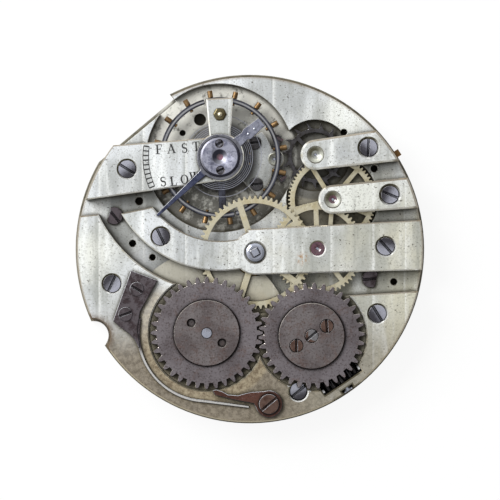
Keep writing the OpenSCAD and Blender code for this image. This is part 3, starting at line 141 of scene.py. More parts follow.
class Shader:
    """Builds one node material; all lengths in its textures are in millimetres."""

    def __init__(self, name, metallic=1.0, roughness=0.4):
        self.material = bpy.data.materials.new(name)
        self.material.use_nodes = True
        self.tree = self.material.node_tree
        self.bsdf = self.tree.nodes["Principled BSDF"]
        self.bsdf.inputs["Metallic"].default_value = metallic
        self.bsdf.inputs["Roughness"].default_value = roughness
        coordinates = self.add("ShaderNodeTexCoord")
        millimetres = operation_node(self.tree, "ShaderNodeVectorMath", "SCALE")
        millimetres.inputs["Scale"].default_value = 1 / MM
        self.join(coordinates.outputs["Object"], millimetres.inputs[0])
        self.place = millimetres.outputs[0]
        split = self.add("ShaderNodeSeparateXYZ")
        self.join(self.place, split.inputs[0])
        self.x, self.y, self.z = split.outputs
        facing = self.add("ShaderNodeSeparateXYZ")
        self.join(coordinates.outputs["Normal"], facing.inputs[0])
        self.facing_x, self.facing_y, self.facing_z = facing.outputs

    def add(self, kind):
        """A new node of the material."""
        return self.tree.nodes.new(kind)

    def join(self, source, target):
        """Links an output to a socket, or sets the socket to a plain value."""
        if hasattr(source, "is_output"):
            self.tree.links.new(source, target)
        else:
            target.default_value = source

    def moved(self, shift, stretch):
        """The place on the movement, stretched and then shifted."""
        mapping = self.add("ShaderNodeMapping")
        mapping.inputs["Location"].default_value = shift
        mapping.inputs["Scale"].default_value = stretch
        self.join(self.place, mapping.inputs["Vector"])
        return mapping.outputs[0]

    def noise(self, scale, detail=4, rough=0.55, shift=(0, 0, 0), stretch=(1, 1, 1)):
        """Cloudy values from 0 to 1; the scale is in clouds per millimetre."""
        texture = self.add("ShaderNodeTexNoise")
        texture.inputs["Scale"].default_value = scale
        texture.inputs["Detail"].default_value = detail
        texture.inputs["Roughness"].default_value = rough
        self.join(self.moved(shift, stretch), texture.inputs["Vector"])
        return texture.outputs["Fac"]

    def ramp(self, value, low, high, start=0.0, end=1.0):
        """Rises or falls smoothly from start to end as the value goes from low to high."""
        node = range_node(self.tree, low, high, start, end)
        self.join(value, node.inputs["Value"])
        return node.outputs["Result"]

    def math(self, operation, first, second=0.0):
        """One step of arithmetic on values or outputs."""
        node = operation_node(self.tree, "ShaderNodeMath", operation)
        self.join(first, node.inputs[0])
        self.join(second, node.inputs[1])
        return node.outputs[0]

    def plus(self, first, second):
        """The sum of two values or outputs."""
        return self.math("ADD", first, second)

    def times(self, first, second):
        """The product of two values or outputs."""
        return self.math("MULTIPLY", first, second)

    def mix(self, factor, first, second):
        """The first colour where the factor is zero, the second where it is one."""
        node = self.add("ShaderNodeMix")
        node.data_type = "RGBA"
        self.join(factor, node.inputs[0])
        self.join(first, node.inputs[6])
        self.join(second, node.inputs[7])
        return node.outputs[2]

    def distance(self, point):
        """Distance in plan from a point on the movement."""
        flat = self.add("ShaderNodeCombineXYZ")
        self.join(self.x, flat.inputs[0])
        self.join(self.y, flat.inputs[1])
        node = operation_node(self.tree, "ShaderNodeVectorMath", "DISTANCE")
        self.join(flat.outputs[0], node.inputs[0])
        node.inputs[1].default_value = (*point, 0)
        return node.outputs["Value"]

    def near(self, patches, ragged):
        """One inside any of the patches, each a middle and a reach, with ragged edges."""
        share = 0.0
        for middle, reach in patches:
            off = self.plus(self.distance(middle), ragged)
            share = self.math("MAXIMUM", self.ramp(off, PATCH_EDGE * reach, PATCH_CORE * reach), share)
        return share

    def lit(self):
        """How far a face turns to the upper left, where the light comes from."""
        across = self.times(self.facing_x, LIGHT_RIGHT)
        return self.plus(across, self.times(self.facing_y, LIGHT_UP))

    def crevice(self, reach, low, high):
        """One in narrow corners, zero on open faces; the mask for shade painted into corners."""
        node = self.add("ShaderNodeAmbientOcclusion")
        node.samples = 8
        node.inputs["Distance"].default_value = reach * MM
        return self.ramp(node.outputs["AO"], low, high, 1.0, 0.0)

    def colour(self, value):
        """Sets the colour of the surface."""
        self.join(value, self.bsdf.inputs["Base Color"])

    def roughness(self, value):
        """Sets the roughness of the surface."""
        self.join(value, self.bsdf.inputs["Roughness"])

    def bump(self, height, depth, strength):
        """Raises the surface by up to depth millimetres in its shading."""
        node = self.add("ShaderNodeBump")
        node.inputs["Strength"].default_value = strength
        node.inputs["Distance"].default_value = depth * MM
        self.join(height, node.inputs["Height"])
        self.join(node.outputs[0], self.bsdf.inputs["Normal"])


# Materials
def silver_face(s, drawn, grain, specks):
    """Open faces: cool and warm patches, wide bands of painted reflection, patches of painted shade and
    painted highlight, drawn streaks, bright vertical lines, fine grain and specks.
    """
    patches = s.noise(0.14, detail=4, rough=0.6)
    lean = s.plus(s.times(s.x, 0.012), s.times(s.y, -0.016))
    warmth = s.ramp(s.plus(lean, patches), 0.3, 0.95)
    colour = s.mix(warmth, srgb(220, 223, 225), srgb(206, 203, 184))
    # Wide darker bands across the faces: painted reflection
    broad_reflection = s.noise(0.11, detail=2, rough=0.5, shift=(6, 1, 0), stretch=(1.6, 0.8, 1))
    colour = s.mix(s.ramp(broad_reflection, 0.42, 0.66, 0.0, 0.65), colour, srgb(164, 166, 160))
    ragged = s.ramp(patches, 0.3, 0.7, -1.2, 1.2)
    # Patches of painted shade, then patches of painted highlight
    colour = s.mix(s.times(s.near(PAINTED_SHADE_PATCHES, ragged), 0.4), colour, srgb(128, 130, 126))
    colour = s.mix(s.times(s.near(PAINTED_HIGHLIGHT_PATCHES, ragged), 0.6), colour, srgb(246, 247, 238))
    colour = s.mix(s.ramp(drawn, 0.5, 0.72, 0.0, 0.7), colour, srgb(246, 248, 246))
    colour = s.mix(s.ramp(drawn, 0.5, 0.28, 0.0, 0.6), colour, srgb(146, 148, 142))
    bend = s.times(s.noise(0.05, detail=0, stretch=(1, 0, 0)), 3.0)
    saw = s.math("FRACT", s.plus(s.times(s.x, 0.19), bend))
    colour = s.mix(s.ramp(saw, 0.0, 0.1, 0.45, 0.0), colour, srgb(250, 251, 248))
    colour = s.mix(s.ramp(grain, 0.38, 0.5, 0.45, 0.0), colour, srgb(124, 122, 108))
    return s.mix(s.ramp(specks, 0.64, 0.7, 0.0, 0.9), colour, srgb(62, 54, 42))


def silver_age(s, colour, specks, tan_share):
    """Lower side painted darker and browner as shade, tan floor round the ratchet wheel, brown rim and
    notch, rust spots.
    """
    mottle = s.noise(1.8, detail=7, rough=0.8, shift=(2, 8, 0))
    # Painted shade: the lower side of the movement darker and browner, with a brown mottle
    low = s.times(s.ramp(s.y, -5.5, -14.0), s.ramp(s.x, 14.0, 2.0, 0.55, 0.95))
    brown = s.mix(s.ramp(mottle, 0.38, 0.62), srgb(144, 134, 118), srgb(102, 92, 77))
    colour = s.mix(low, colour, brown)
    beside = s.times(s.ramp(s.distance(BARREL), 8.9, 8.2), s.ramp(s.y, -4.0, -6.0))
    tan = s.times(beside, tan_share)
    colour = s.mix(tan, colour, s.mix(s.ramp(mottle, 0.4, 0.62), srgb(184, 170, 140), srgb(124, 106, 80)))
    rim = s.ramp(s.distance(MIDDLE), 20.75, 21.1, 0.0, 0.4)
    colour = s.mix(rim, colour, srgb(124, 102, 74))
    bitten = s.times(s.ramp(s.distance(NOTCH), 3.0, 2.0, 0.0, 0.8), s.ramp(mottle, 0.35, 0.55))
    colour = s.mix(bitten, colour, srgb(98, 78, 58))
    spots = s.times(s.ramp(s.distance(RUST_SPOTS), 1.1, 0.2, 0.0, 0.7), s.ramp(specks, 0.45, 0.6))
    return s.mix(spots, colour, srgb(168, 124, 72))


def silver_depth(s, colour, floor_z, floor_tarnish_and_shade, floor_share):
    """Sunk floors painted darker as tarnish and shade, smudges with painted shade, painted shadow of the
    hairspring, walls painted olive and holes painted black as shade, and painted shade in the corners.
    """
    # Sunk floors darker, partly tarnish and partly painted shade; the sink of the escape wheel darkest,
    # painted shade; the sink of the balance bright silver
    deep = s.ramp(s.z, floor_z - 0.3, floor_z, floor_share, 0.0)
    floor = s.mix(s.ramp(s.distance(ESCAPE), 5.2, 5.6), srgb(70, 66, 56), floor_tarnish_and_shade)
    in_sink = s.ramp(s.distance(BALANCE), 9.6, 9.2)
    floor = s.mix(in_sink, floor, srgb(228, 226, 216))
    colour = s.mix(deep, colour, floor)
    # Smudges on the sunk floors, denser towards the bottom of the balance sink: soiling with painted shade
    sink_shade_bias = s.times(in_sink, s.ramp(s.y, 10.5, 7.5, -0.025, 0.11))
    cloud = s.plus(s.noise(0.8, detail=6, rough=0.75), sink_shade_bias)
    smear_and_shade = s.times(s.ramp(cloud, 0.5, 0.64), s.ramp(s.y, 0.0, 2.0, 0.25, 0.85))
    colour = s.mix(s.times(deep, smear_and_shade), colour, srgb(66, 63, 54))
    # Painted shadow of the hairspring on the floor under it
    spring_shadow = s.times(s.ramp(s.z, 3.5, 3.2), s.ramp(s.distance(BALANCE), 5.0, 4.0, 0.0, 0.8))
    colour = s.mix(spring_shadow, colour, srgb(58, 56, 54))
    inside = s.ramp(s.distance(MIDDLE), 20.6, 20.2)
    # Upright walls inside the rim painted dark olive as shade
    wall_shade = s.times(inside, s.ramp(s.math("ABSOLUTE", s.facing_z), 0.75, 0.35, 0.0, 0.85))
    colour = s.mix(wall_shade, colour, srgb(80, 74, 52))
    # Floors of deep holes painted black as shade
    upward = s.times(inside, s.ramp(s.facing_z, 0.3, 0.7))
    hole = s.times(upward, s.ramp(s.z, 0.75, 1.05, 0.95, 0.0))
    colour = s.mix(hole, colour, srgb(16, 14, 12))
    # Painted shade from ambient occlusion under parts and in corners, weaker near the rim; partly soiling
    towards_rim = s.ramp(s.distance(MIDDLE), 15.0, 18.0, 1.0, 0.4)
    grime_and_shade = s.times(s.ramp(s.z, 2.4, 2.6, 0.6, 0.4), towards_rim)
    shade = s.times(s.crevice(2.6, 0.25, 0.9), grime_and_shade)
    colour = s.mix(shade, colour, srgb(58, 53, 41))
    # Painted shade: an olive band at the foot of the walls, and narrow corners nearly black
    colour = s.mix(s.times(s.crevice(0.7, 0.5, 0.95), 0.75), colour, srgb(70, 64, 46))
    return s.mix(s.times(s.crevice(0.8, 0.2, 0.7), 0.8), colour, srgb(30, 26, 20))


def frosted_silver(name, floor_z, floor_tarnish_and_shade, floor_share, tan_share):
    """Frosted, aged plate metal with its sunk floors."""
    s = Shader(name, metallic=0.6)
    drawn = s.noise(0.5, detail=4, rough=0.6, stretch=(1, 0.14, 1), shift=(3, 0, 0))
    grain = s.noise(5.0, detail=6, rough=0.75)
    specks = s.noise(3.6, detail=3, rough=0.6, shift=(9, 4, 0))
    colour = silver_face(s, drawn, grain, specks)
    colour = silver_age(s, colour, specks, tan_share)
    s.colour(silver_depth(s, colour, floor_z, floor_tarnish_and_shade, floor_share))
    s.roughness(s.ramp(grain, 0.25, 0.8, 0.52, 0.66))
    s.bump(s.plus(grain, s.times(drawn, 3.0)), 0.03, 0.4)
    return s.material


def bright_bevel(holes):
    """Polished chamfers: brown on the rim, painted brown shade on chamfers facing up the plan and painted
    shade towards the bottom, lit on one side in the sinks of screws.
    """
    s = Shader("bright_bevel", metallic=0.6, roughness=0.2)
    wear = s.noise(1.7, detail=4, rough=0.7)
    edge = s.mix(s.ramp(wear, 0.45, 0.75), srgb(246, 246, 240), srgb(206, 200, 178))
    edge = s.mix(s.ramp(s.distance(MIDDLE), 20.3, 20.8, 0.0, 0.75), edge, srgb(116, 102, 80))
    # Painted shade: chamfers facing up the plan turn brown-dark
    edge = s.mix(s.ramp(s.facing_y, 0.45, 0.65, 0.0, 0.75), edge, srgb(122, 106, 82))
    # Painted shade: chamfers darker towards the bottom
    edge = s.mix(s.ramp(s.y, -7.0, -11.0, 0.0, 0.8), edge, srgb(164, 154, 130))
    nearest = s.distance(holes[0])
    for hole in holes[1:]:
        nearest = s.math("MINIMUM", nearest, s.distance(hole))
    bowl = s.mix(s.ramp(s.lit(), -0.3, 0.4), srgb(132, 126, 106), srgb(254, 254, 250))
    colour = s.mix(s.ramp(nearest, 1.6, 1.45), edge, bowl)
    colour = s.mix(s.ramp(s.distance(NOTCH), 2.9, 2.5, 0.0, 0.85), colour, srgb(88, 68, 50))
    colour = s.mix(s.ramp(s.distance(PINION_WINDOW), 3.0, 2.6, 0.0, 0.85), colour, srgb(92, 86, 68))
    s.colour(colour)
    s.roughness(s.ramp(wear, 0.3, 0.75, 0.14, 0.34))
    return s.material


def lit_edge(name, dark, bright):
    """Worn edge of a steel piece, bright where it turns to the light."""
    s = Shader(name)
    wear = s.noise(2.5, detail=4, rough=0.7)
    share = s.times(s.ramp(s.lit(), -0.1, 0.5), s.ramp(wear, 0.3, 0.6, 0.5, 1.0))
    s.colour(s.mix(share, dark, bright))
    s.roughness(s.ramp(wear, 0.3, 0.75, 0.2, 0.36))
    return s.material


def jewel_bowl():
    """Conical setting of a jewel, dark on its upper left and bright on its lower right as painted shade and
    highlight, dark in its corners as painted shade.
    """
    s = Shader("jewel_bowl", metallic=0.6)
    wear = s.noise(1.7, detail=4, rough=0.7)
    # Painted light: bright where the face turns to the light, dark where it turns away
    colour = s.mix(s.ramp(s.lit(), -0.22, 0.25), srgb(94, 90, 72), srgb(212, 213, 201))
    colour = s.mix(s.ramp(wear, 0.5, 0.7, 0.0, 0.5), colour, srgb(126, 120, 98))
    # Painted shade in the corners
    colour = s.mix(s.crevice(0.4, 0.4, 0.9), colour, srgb(44, 40, 32))
    s.colour(colour)
    s.roughness(s.ramp(wear, 0.3, 0.75, 0.22, 0.4))
    return s.material


def polished_steel(name, base, stain, roughness, stain_from=0.5, clean_at=None):
    """Polished steel with tarnish patches, faint scratches and slots painted black as shade; clean grey
    round clean_at.
    """
    s = Shader(name)
    patches = s.noise(0.9, detail=5, rough=0.65)
    fine = s.noise(6.0, detail=3, rough=0.7)
    scratch = s.noise(2.2, detail=4, rough=0.7, stretch=(1, 0.15, 1))
    colour = s.mix(s.ramp(patches, stain_from, stain_from + 0.25), base, stain)
    if clean_at:
        colour = s.mix(s.ramp(s.distance(clean_at), 0.95, 0.85), colour, srgb(146, 144, 146))
    colour = s.mix(s.ramp(fine, 0.55, 0.75, 0.0, 0.35), colour, srgb(40, 38, 38))
    # Painted shade: slots and corners black
    colour = s.mix(s.crevice(0.3, 0.6, 0.92), colour, srgb(10, 9, 9))
    s.colour(colour)
    s.roughness(s.ramp(patches, 0.3, 0.7, roughness, roughness + 0.18))
    relief = s.plus(scratch, s.times(fine, 0.3))
    s.bump(s.plus(s.times(patches, 3.0), relief), 0.03, 0.4)
    return s.material


def screw_head_steel(middles):
    """Polished screw heads, each with a dark and a bright side as a painted reflection, slots painted black
    as shade.
    """
    s = Shader("screw_heads")
    fine = s.noise(5.0, detail=4, rough=0.7)
    scratch = s.noise(2.2, detail=4, rough=0.7, stretch=(1, 0.15, 1))
    # Painted reflection: each head dark on one side and bright on the other
    across = 0.0
    for i, middle in enumerate(middles):
        along = math.radians(75 * i - 40)
        right = s.times(s.math("SUBTRACT", s.x, middle[0]), math.cos(along))
        up = s.times(s.math("SUBTRACT", s.y, middle[1]), math.sin(along))
        own = s.times(s.plus(right, up), s.math("LESS_THAN", s.distance(middle), 1.4))
        across = s.plus(own, across)
    painted_reflection = s.ramp(s.plus(across, s.times(fine, 0.8)), -0.3, 1.1)
    colour = s.mix(painted_reflection, srgb(86, 84, 90), srgb(206, 207, 220))
    colour = s.mix(s.ramp(fine, 0.56, 0.7, 0.0, 0.5), colour, srgb(48, 46, 48))
    # Painted shade: slots and corners black
    colour = s.mix(s.crevice(0.3, 0.6, 0.92), colour, srgb(10, 9, 9))
    s.colour(colour)
    s.roughness(s.ramp(fine, 0.3, 0.7, 0.2, 0.36))
    s.bump(scratch, 0.02, 0.4)
    return s.material


def regulator_steel():
    """Worn grey collar, slate tail and a darker blue pointer, all finely scratched."""
    s = Shader("regulator_steel")
    patches = s.noise(0.9, detail=5, rough=0.65)
    scratch = s.noise(3.0, detail=5, rough=0.75, shift=(4, 1, 0))
    tail = s.mix(s.ramp(patches, 0.4, 0.65), srgb(178, 180, 196), srgb(118, 120, 138))
    pointer = s.mix(s.ramp(patches, 0.4, 0.65), srgb(98, 103, 130), srgb(58, 62, 84))
    collar = s.mix(s.ramp(patches, 0.4, 0.65), srgb(148, 148, 156), srgb(98, 98, 108))
    arms = s.mix(s.ramp(s.y, 10.6, 11.8), pointer, tail)
    colour = s.mix(s.ramp(s.distance(BALANCE), 2.75, 3.0), collar, arms)
    colour = s.mix(s.ramp(scratch, 0.54, 0.66, 0.0, 0.6), colour, srgb(46, 48, 64))
    # Painted shade: corners nearly black
    colour = s.mix(s.crevice(0.3, 0.6, 0.92), colour, srgb(16, 16, 20))
    s.colour(colour)
    s.roughness(s.ramp(patches, 0.3, 0.7, 0.22, 0.38))
    s.bump(scratch, 0.015, 0.35)
    return s.material


def end_piece_steel():
    """Scratched slate cap; its sink for the jewel is lit on one side."""
    s = Shader("end_piece_steel")
    patches = s.noise(1.1, detail=6, rough=0.7)
    scratch = s.noise(3.4, detail=5, rough=0.75, shift=(7, 3, 0))
    flat = s.mix(s.ramp(patches, 0.38, 0.64), srgb(176, 177, 192), srgb(112, 113, 130))
    flat = s.mix(s.ramp(scratch, 0.54, 0.64, 0.0, 0.6), flat, srgb(64, 64, 78))
    bowl = s.mix(s.ramp(s.lit(), -0.25, 0.3), srgb(70, 70, 82), srgb(136, 136, 146))
    colour = s.mix(s.ramp(s.facing_z, 0.985, 0.96), flat, bowl)
    # Painted shade: corners nearly black
    colour = s.mix(s.crevice(0.3, 0.6, 0.92), colour, srgb(14, 13, 16))
    s.colour(colour)
    s.roughness(s.ramp(patches, 0.3, 0.7, 0.38, 0.52))
    s.bump(scratch, 0.015, 0.35)
    return s.material


def rim_steel_look():
    """Balance rim: dark edges with a painted highlight line along the middle of its top, painted shade in
    the corners.
    """
    s = Shader("rim_steel")
    patches = s.noise(0.9, detail=5, rough=0.65)
    # Painted highlight: a bright line along the middle of the top
    off_highlight = s.math("ABSOLUTE", s.math("SUBTRACT", s.distance(BALANCE), RIM_HIGHLIGHT_R))
    dark = s.mix(s.ramp(patches, 0.4, 0.65), srgb(92, 94, 106), srgb(56, 54, 58))
    colour = s.mix(s.ramp(off_highlight, 0.02, 0.16, 0.85, 0.0), dark, srgb(196, 196, 198))
    # Painted shade in the corners
    colour = s.mix(s.crevice(0.4, 0.3, 0.8), colour, srgb(16, 15, 15))
    s.colour(colour)
    s.roughness(s.ramp(patches, 0.3, 0.7, 0.22, 0.38))
    s.bump(patches, 0.02, 0.3)
    return s.material


def rusted_steel(name, base, dark, rust, rust_from, roughness=0.5):
    """Matte steel with soft clouds, rust bloom, fine pits, and tooth gaps and holes painted dark as shade.
    """
    s = Shader(name)
    clouds = s.noise(0.3, detail=3, rough=0.5, shift=(3, 6, 0))
    bloom = s.noise(0.7, detail=7, rough=0.75)
    pits = s.noise(4.5, detail=4, rough=0.7, shift=(5, 2, 0))
    colour = s.mix(s.ramp(clouds, 0.35, 0.7), base, dark)
    mask = s.ramp(s.plus(bloom, s.times(pits, 0.35)), rust_from, rust_from + 0.1, 0.0, 0.5)
    colour = s.mix(mask, colour, rust)
    colour = s.mix(s.ramp(pits, 0.42, 0.3, 0.0, 0.5), colour, srgb(150, 143, 143))
    colour = s.mix(s.ramp(pits, 0.53, 0.62, 0.0, 0.6), colour, srgb(60, 48, 45))
    # Painted shade: tooth gaps and holes dark, the narrowest nearly black
    colour = s.mix(s.crevice(0.6, 0.6, 0.96), colour, srgb(18, 15, 14))
    colour = s.mix(s.crevice(0.9, 0.25, 0.6), colour, srgb(30, 25, 23))
    s.colour(colour)
    s.join(s.ramp(mask, 0.1, 0.5, 0.9, 0.6), s.bsdf.inputs["Metallic"])
    s.roughness(s.ramp(bloom, 0.3, 0.7, roughness, roughness + 0.15))
    s.bump(pits, 0.01, 0.4)
    return s.material


def brass_metal(name, base, dull, roughness):
    """Brass or gilt metal with dull patches and brown corners, partly soiling and partly painted shade."""
    s = Shader(name)
    patches = s.noise(0.8, detail=4, rough=0.6)
    fine = s.noise(7.0, detail=3)
    colour = s.mix(s.ramp(patches, 0.4, 0.7), base, dull)
    colour = s.mix(s.ramp(fine, 0.5, 0.8, 0.0, 0.3), colour, srgb(96, 74, 42))
    # Brown corners: soiling with painted shade
    colour = s.mix(s.crevice(0.5, 0.25, 0.75), colour, srgb(52, 38, 20))
    s.colour(colour)
    s.roughness(s.ramp(patches, 0.3, 0.7, roughness, roughness + 0.15))
    s.bump(fine, 0.006, 0.3)
    return s.material


def ruby_glass():
    """Dark purple-red ruby with faint clouds; the escape and pallet stones are nearly colourless."""
    s = Shader("ruby", metallic=0.0, roughness=0.1)
    clouds = s.noise(2.0, detail=3)
    red = s.mix(s.ramp(clouds, 0.35, 0.7), srgb(112, 68, 82), srgb(66, 38, 48))
    clear = s.mix(s.ramp(clouds, 0.35, 0.7), srgb(176, 178, 172), srgb(130, 130, 122))
    red = s.mix(s.ramp(s.distance(BALANCE), 1.0, 0.8), red, srgb(172, 116, 138))
    nearest = s.math("MINIMUM", s.distance(ESCAPE), s.distance(PALLET))
    s.colour(s.mix(s.ramp(nearest, 0.9, 1.1), clear, red))
    s.bsdf.inputs["IOR"].default_value = 1.76
    s.bsdf.inputs["Transmission Weight"].default_value = 0.3
    s.bsdf.inputs["Coat Weight"].default_value = 0.4
    return s.material


def engraved_ink():
    """Black filling of the engraved legend, with thin worn places."""
    s = Shader("engraved_ink", metallic=0.0, roughness=0.55)
    wear = s.noise(3.0, detail=4, rough=0.7)
    s.colour(s.mix(s.ramp(wear, 0.58, 0.78), srgb(22, 21, 23), srgb(84, 82, 80)))
    return s.material


def click_spring_steel():
    """Mottled dark block that runs into a bright polished blade."""
    s = Shader("click_spring_steel")
    mottle = s.noise(1.3, detail=6, rough=0.75)
    fine = s.noise(4.0, detail=4, rough=0.7, shift=(2, 5, 0))
    block = s.mix(s.ramp(mottle, 0.42, 0.6), srgb(118, 110, 114), srgb(74, 64, 66))
    block = s.mix(s.ramp(fine, 0.56, 0.68, 0.0, 0.7), block, srgb(44, 38, 38))
    blade = s.mix(s.ramp(mottle, 0.5, 0.75), srgb(232, 230, 226), srgb(150, 138, 126))
    colour = s.mix(s.ramp(s.y, -13.2, -11.6), blade, block)
    # Painted shade: corners nearly black
    colour = s.mix(s.crevice(0.4, 0.3, 0.75), colour, srgb(24, 20, 18))
    s.colour(colour)
    s.roughness(s.ramp(mottle, 0.3, 0.7, 0.24, 0.44))
    s.bump(mottle, 0.012, 0.3)
    return s.material


# Shapes of the scene's own pieces
def mesh_piece(name, points, faces, material, body):
    """A new piece from points in millimetres, riding on a body."""
    mesh = bpy.data.meshes.new(name)
    mesh.from_pydata([Vector(p) * MM for p in points], [], faces)
    mesh.update()
    piece = bpy.data.objects.new(name, mesh)
    bpy.context.scene.collection.objects.link(piece)
    piece.data.materials.append(material)
    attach(piece, body)
    return piece


def polar(centre, radius, angle):
    """The point at a radius and an angle in degrees round a centre."""
    turn = math.radians(angle)
    return (centre[0] + radius * math.cos(turn), centre[1] + radius * math.sin(turn))


def spring_radius(turns):
    """The outer turn comes in from the stud in a wide sweep; the others lie close together."""
    if turns < 1:
        return SPRING_OUT - (SPRING_OUT - SPRING_BODY) * turns ** SPRING_SWEEP
    return SPRING_BODY + (SPRING_IN - SPRING_BODY) * (turns - 1) / (SPRING_TURNS - 1)


def full_hairspring(material):
    """One flat spiral ribbon from the stud to the collet, with the number of coils such a spring has."""
    count = SPRING_TURNS * SPRING_STEPS
    points = []
    faces = []
    for i in range(count + 1):
        turns = i / SPRING_STEPS
        radius = spring_radius(turns)
        angle = STUD_ANGLE - 360 * turns
        inner = polar(BALANCE, radius - SPRING_HALF, angle)
        outer = polar(BALANCE, radius + SPRING_HALF, angle)
        points.append((*inner, SPRING_LOW))
        points.append((*outer, SPRING_LOW))
        points.append((*outer, SPRING_HIGH))
        points.append((*inner, SPRING_HIGH))
    for i in range(count):
        a = 4 * i
        b = a + 4
        for k in range(4):
            n = (k + 1) % 4
            faces.append((a + k, a + n, b + n, b + k))
    faces.append((0, 3, 2, 1))
    last = 4 * count
    faces.append((last, last + 1, last + 2, last + 3))
    return mesh_piece("hairspring_full", points, faces, material, "frame")


class Relief:
    """Collects thin raised shapes on one level into a single mesh."""

    def __init__(self, level, height):
        self.level = level
        self.height = height
        self.points = []
        self.faces = []

    def prism(self, outline):
        """One flat shape with upright sides."""
        first = len(self.points)
        count = len(outline)
        for x, y in outline:
            self.points.append((x, y, self.level))
        for x, y in outline:
            self.points.append((x, y, self.level + self.height))
        self.faces.append(tuple(first + count + i for i in range(count)))
        self.faces.append(tuple(first + i for i in reversed(range(count))))
        for i in range(count):
            n = (i + 1) % count
            self.faces.append((first + i, first + n, first + count + n, first + count + i))

    def band(self, line, widths):
        """A ribbon along a line, one prism per stretch."""
        sides = []
        for i, (x, y) in enumerate(line):
            before = line[max(i - 1, 0)]
            after = line[min(i + 1, len(line) - 1)]
            along = Vector((after[0] - before[0], after[1] - before[1])).normalized()
            half = widths[i] / 2
            left = (x - along.y * half, y + along.x * half)
            right = (x + along.y * half, y - along.x * half)
            sides.append((left, right))
        for a, b in zip(sides, sides[1:]):
            self.prism([a[1], b[1], b[0], a[0]])


# Letters as bars (x0, y0, x1, y1) and slants (x0, y0, x1, y1, width), in units of the letter height
LETTER_BARS = {
    "F": [(0.16, 0, 0.32, 1), (0.04, 0.94, 0.72, 1), (0.32, 0.47, 0.56, 0.53), (0.04, 0, 0.46, 0.06),
          (0.66, 0.74, 0.72, 0.94), (0.5, 0.38, 0.56, 0.62)],
    "A": [(0.24, 0.32, 0.6, 0.38), (0, 0, 0.24, 0.06), (0.56, 0, 0.9, 0.06)],
    "T": [(0.3, 0, 0.46, 1), (0.02, 0.94, 0.74, 1), (0.18, 0, 0.58, 0.06), (0.02, 0.74, 0.08, 0.94),
          (0.68, 0.74, 0.74, 0.94)],
    "L": [(0.16, 0, 0.32, 1), (0.04, 0, 0.72, 0.06), (0.04, 0.94, 0.46, 1), (0.66, 0.06, 0.72, 0.3)],
    "W": [(0, 0.94, 0.3, 1), (0.42, 0.94, 0.72, 1), (0.82, 0.94, 1.06, 1)],
    "S": [(0.08, 0.02, 0.13, 0.28), (0.54, 0.72, 0.59, 0.98)],
    "O": [],
}
LETTER_SLANTS = {
    "A": [(0.1, 0, 0.44, 1, 0.07), (0.42, 1, 0.76, 0, 0.17)],
    "W": [(0.12, 1, 0.36, 0, 0.16), (0.36, 0, 0.58, 1, 0.07), (0.56, 1, 0.74, 0, 0.16),
          (0.74, 0, 0.96, 1, 0.07)],
}
LETTER_WIDTH = {"F": 0.76, "A": 0.9, "S": 0.66, "T": 0.76, "L": 0.76, "O": 0.84, "W": 1.06}


def letter_curve(letter):
    """Line and widths of the round letters."""
    line = []
    widths = []
    if letter == "O":
        for i in range(25):
            angle = 2 * math.pi * i / 24
            line.append((0.42 + 0.33 * math.cos(angle), 0.5 + 0.46 * math.sin(angle)))
            widths.append(0.06 + 0.12 * math.cos(angle) ** 2)
    if letter == "S":
        for i in range(13):
            angle = math.radians(40 + 230 * i / 12)
            line.append((0.33 + 0.21 * math.cos(angle), 0.74 + 0.23 * math.sin(angle)))
            widths.append(0.07 + 0.1 * (i / 12))
        for i in range(1, 13):
            angle = math.radians(90 - 230 * i / 12)
            line.append((0.33 + 0.23 * math.cos(angle), 0.26 + 0.25 * math.sin(angle)))
            widths.append(0.17 - 0.1 * (i / 12))
    return line, widths


def draw_letter(relief, letter, centre, height, tilt):
    """Adds one letter, tilted by some degrees about its centre, to the relief."""
    turn = math.radians(tilt)
    middle = LETTER_WIDTH[letter] / 2

    def placed(x, y):
        """A point of the letter's own grid, on the movement."""
        u = (x - middle) * height
        v = (y - 0.5) * height
        return (
            centre[0] + u * math.cos(turn) - v * math.sin(turn),
            centre[1] + u * math.sin(turn) + v * math.cos(turn),
        )

    for x0, y0, x1, y1 in LETTER_BARS[letter]:
        relief.prism([placed(x0, y0), placed(x1, y0), placed(x1, y1), placed(x0, y1)])
    for x0, y0, x1, y1, width in LETTER_SLANTS.get(letter, []):
        half = width / 2
        low, high = ((x0, y0), (x1, y1)) if y0 < y1 else ((x1, y1), (x0, y0))
        relief.prism([
            placed(low[0] - half, low[1]),
            placed(low[0] + half, low[1]),
            placed(high[0] + half, high[1]),
            placed(high[0] - half, high[1]),
        ])
    line, widths = letter_curve(letter)
    if line:
        relief.band([placed(x, y) for x, y in line], [w * height for w in widths])


def cock_legend(material):
    """Fast and slow marks and the ladder scale of the regulator, filled black."""
    relief = Relief(COCK_TOP, INK_HEIGHT)
    for letter, place in zip("FAST", FAST_PLACES):
        draw_letter(relief, letter, place, LETTER_HEIGHT, FAST_TILT)
    for letter, place in zip("SLOW", SLOW_PLACES):
        draw_letter(relief, letter, place, LETTER_HEIGHT, SLOW_TILT)
    span = SCALE_TO - SCALE_FROM
    for radius in (SCALE_OUT, SCALE_IN):
        line = []
        for i in range(SCALE_STEPS + 1):
            line.append(polar(BALANCE, radius, SCALE_FROM + span * i / SCALE_STEPS))
        relief.band(line, [SCALE_LINE] * len(line))
    for i in range(SCALE_RUNGS + 1):
        angle = SCALE_FROM + span * i / SCALE_RUNGS
        rung = [polar(BALANCE, SCALE_IN, angle), polar(BALANCE, SCALE_OUT, angle)]
        relief.band(rung, [SCALE_RUNG] * 2)
    return mesh_piece("cock_legend", relief.points, relief.faces, material, "frame")


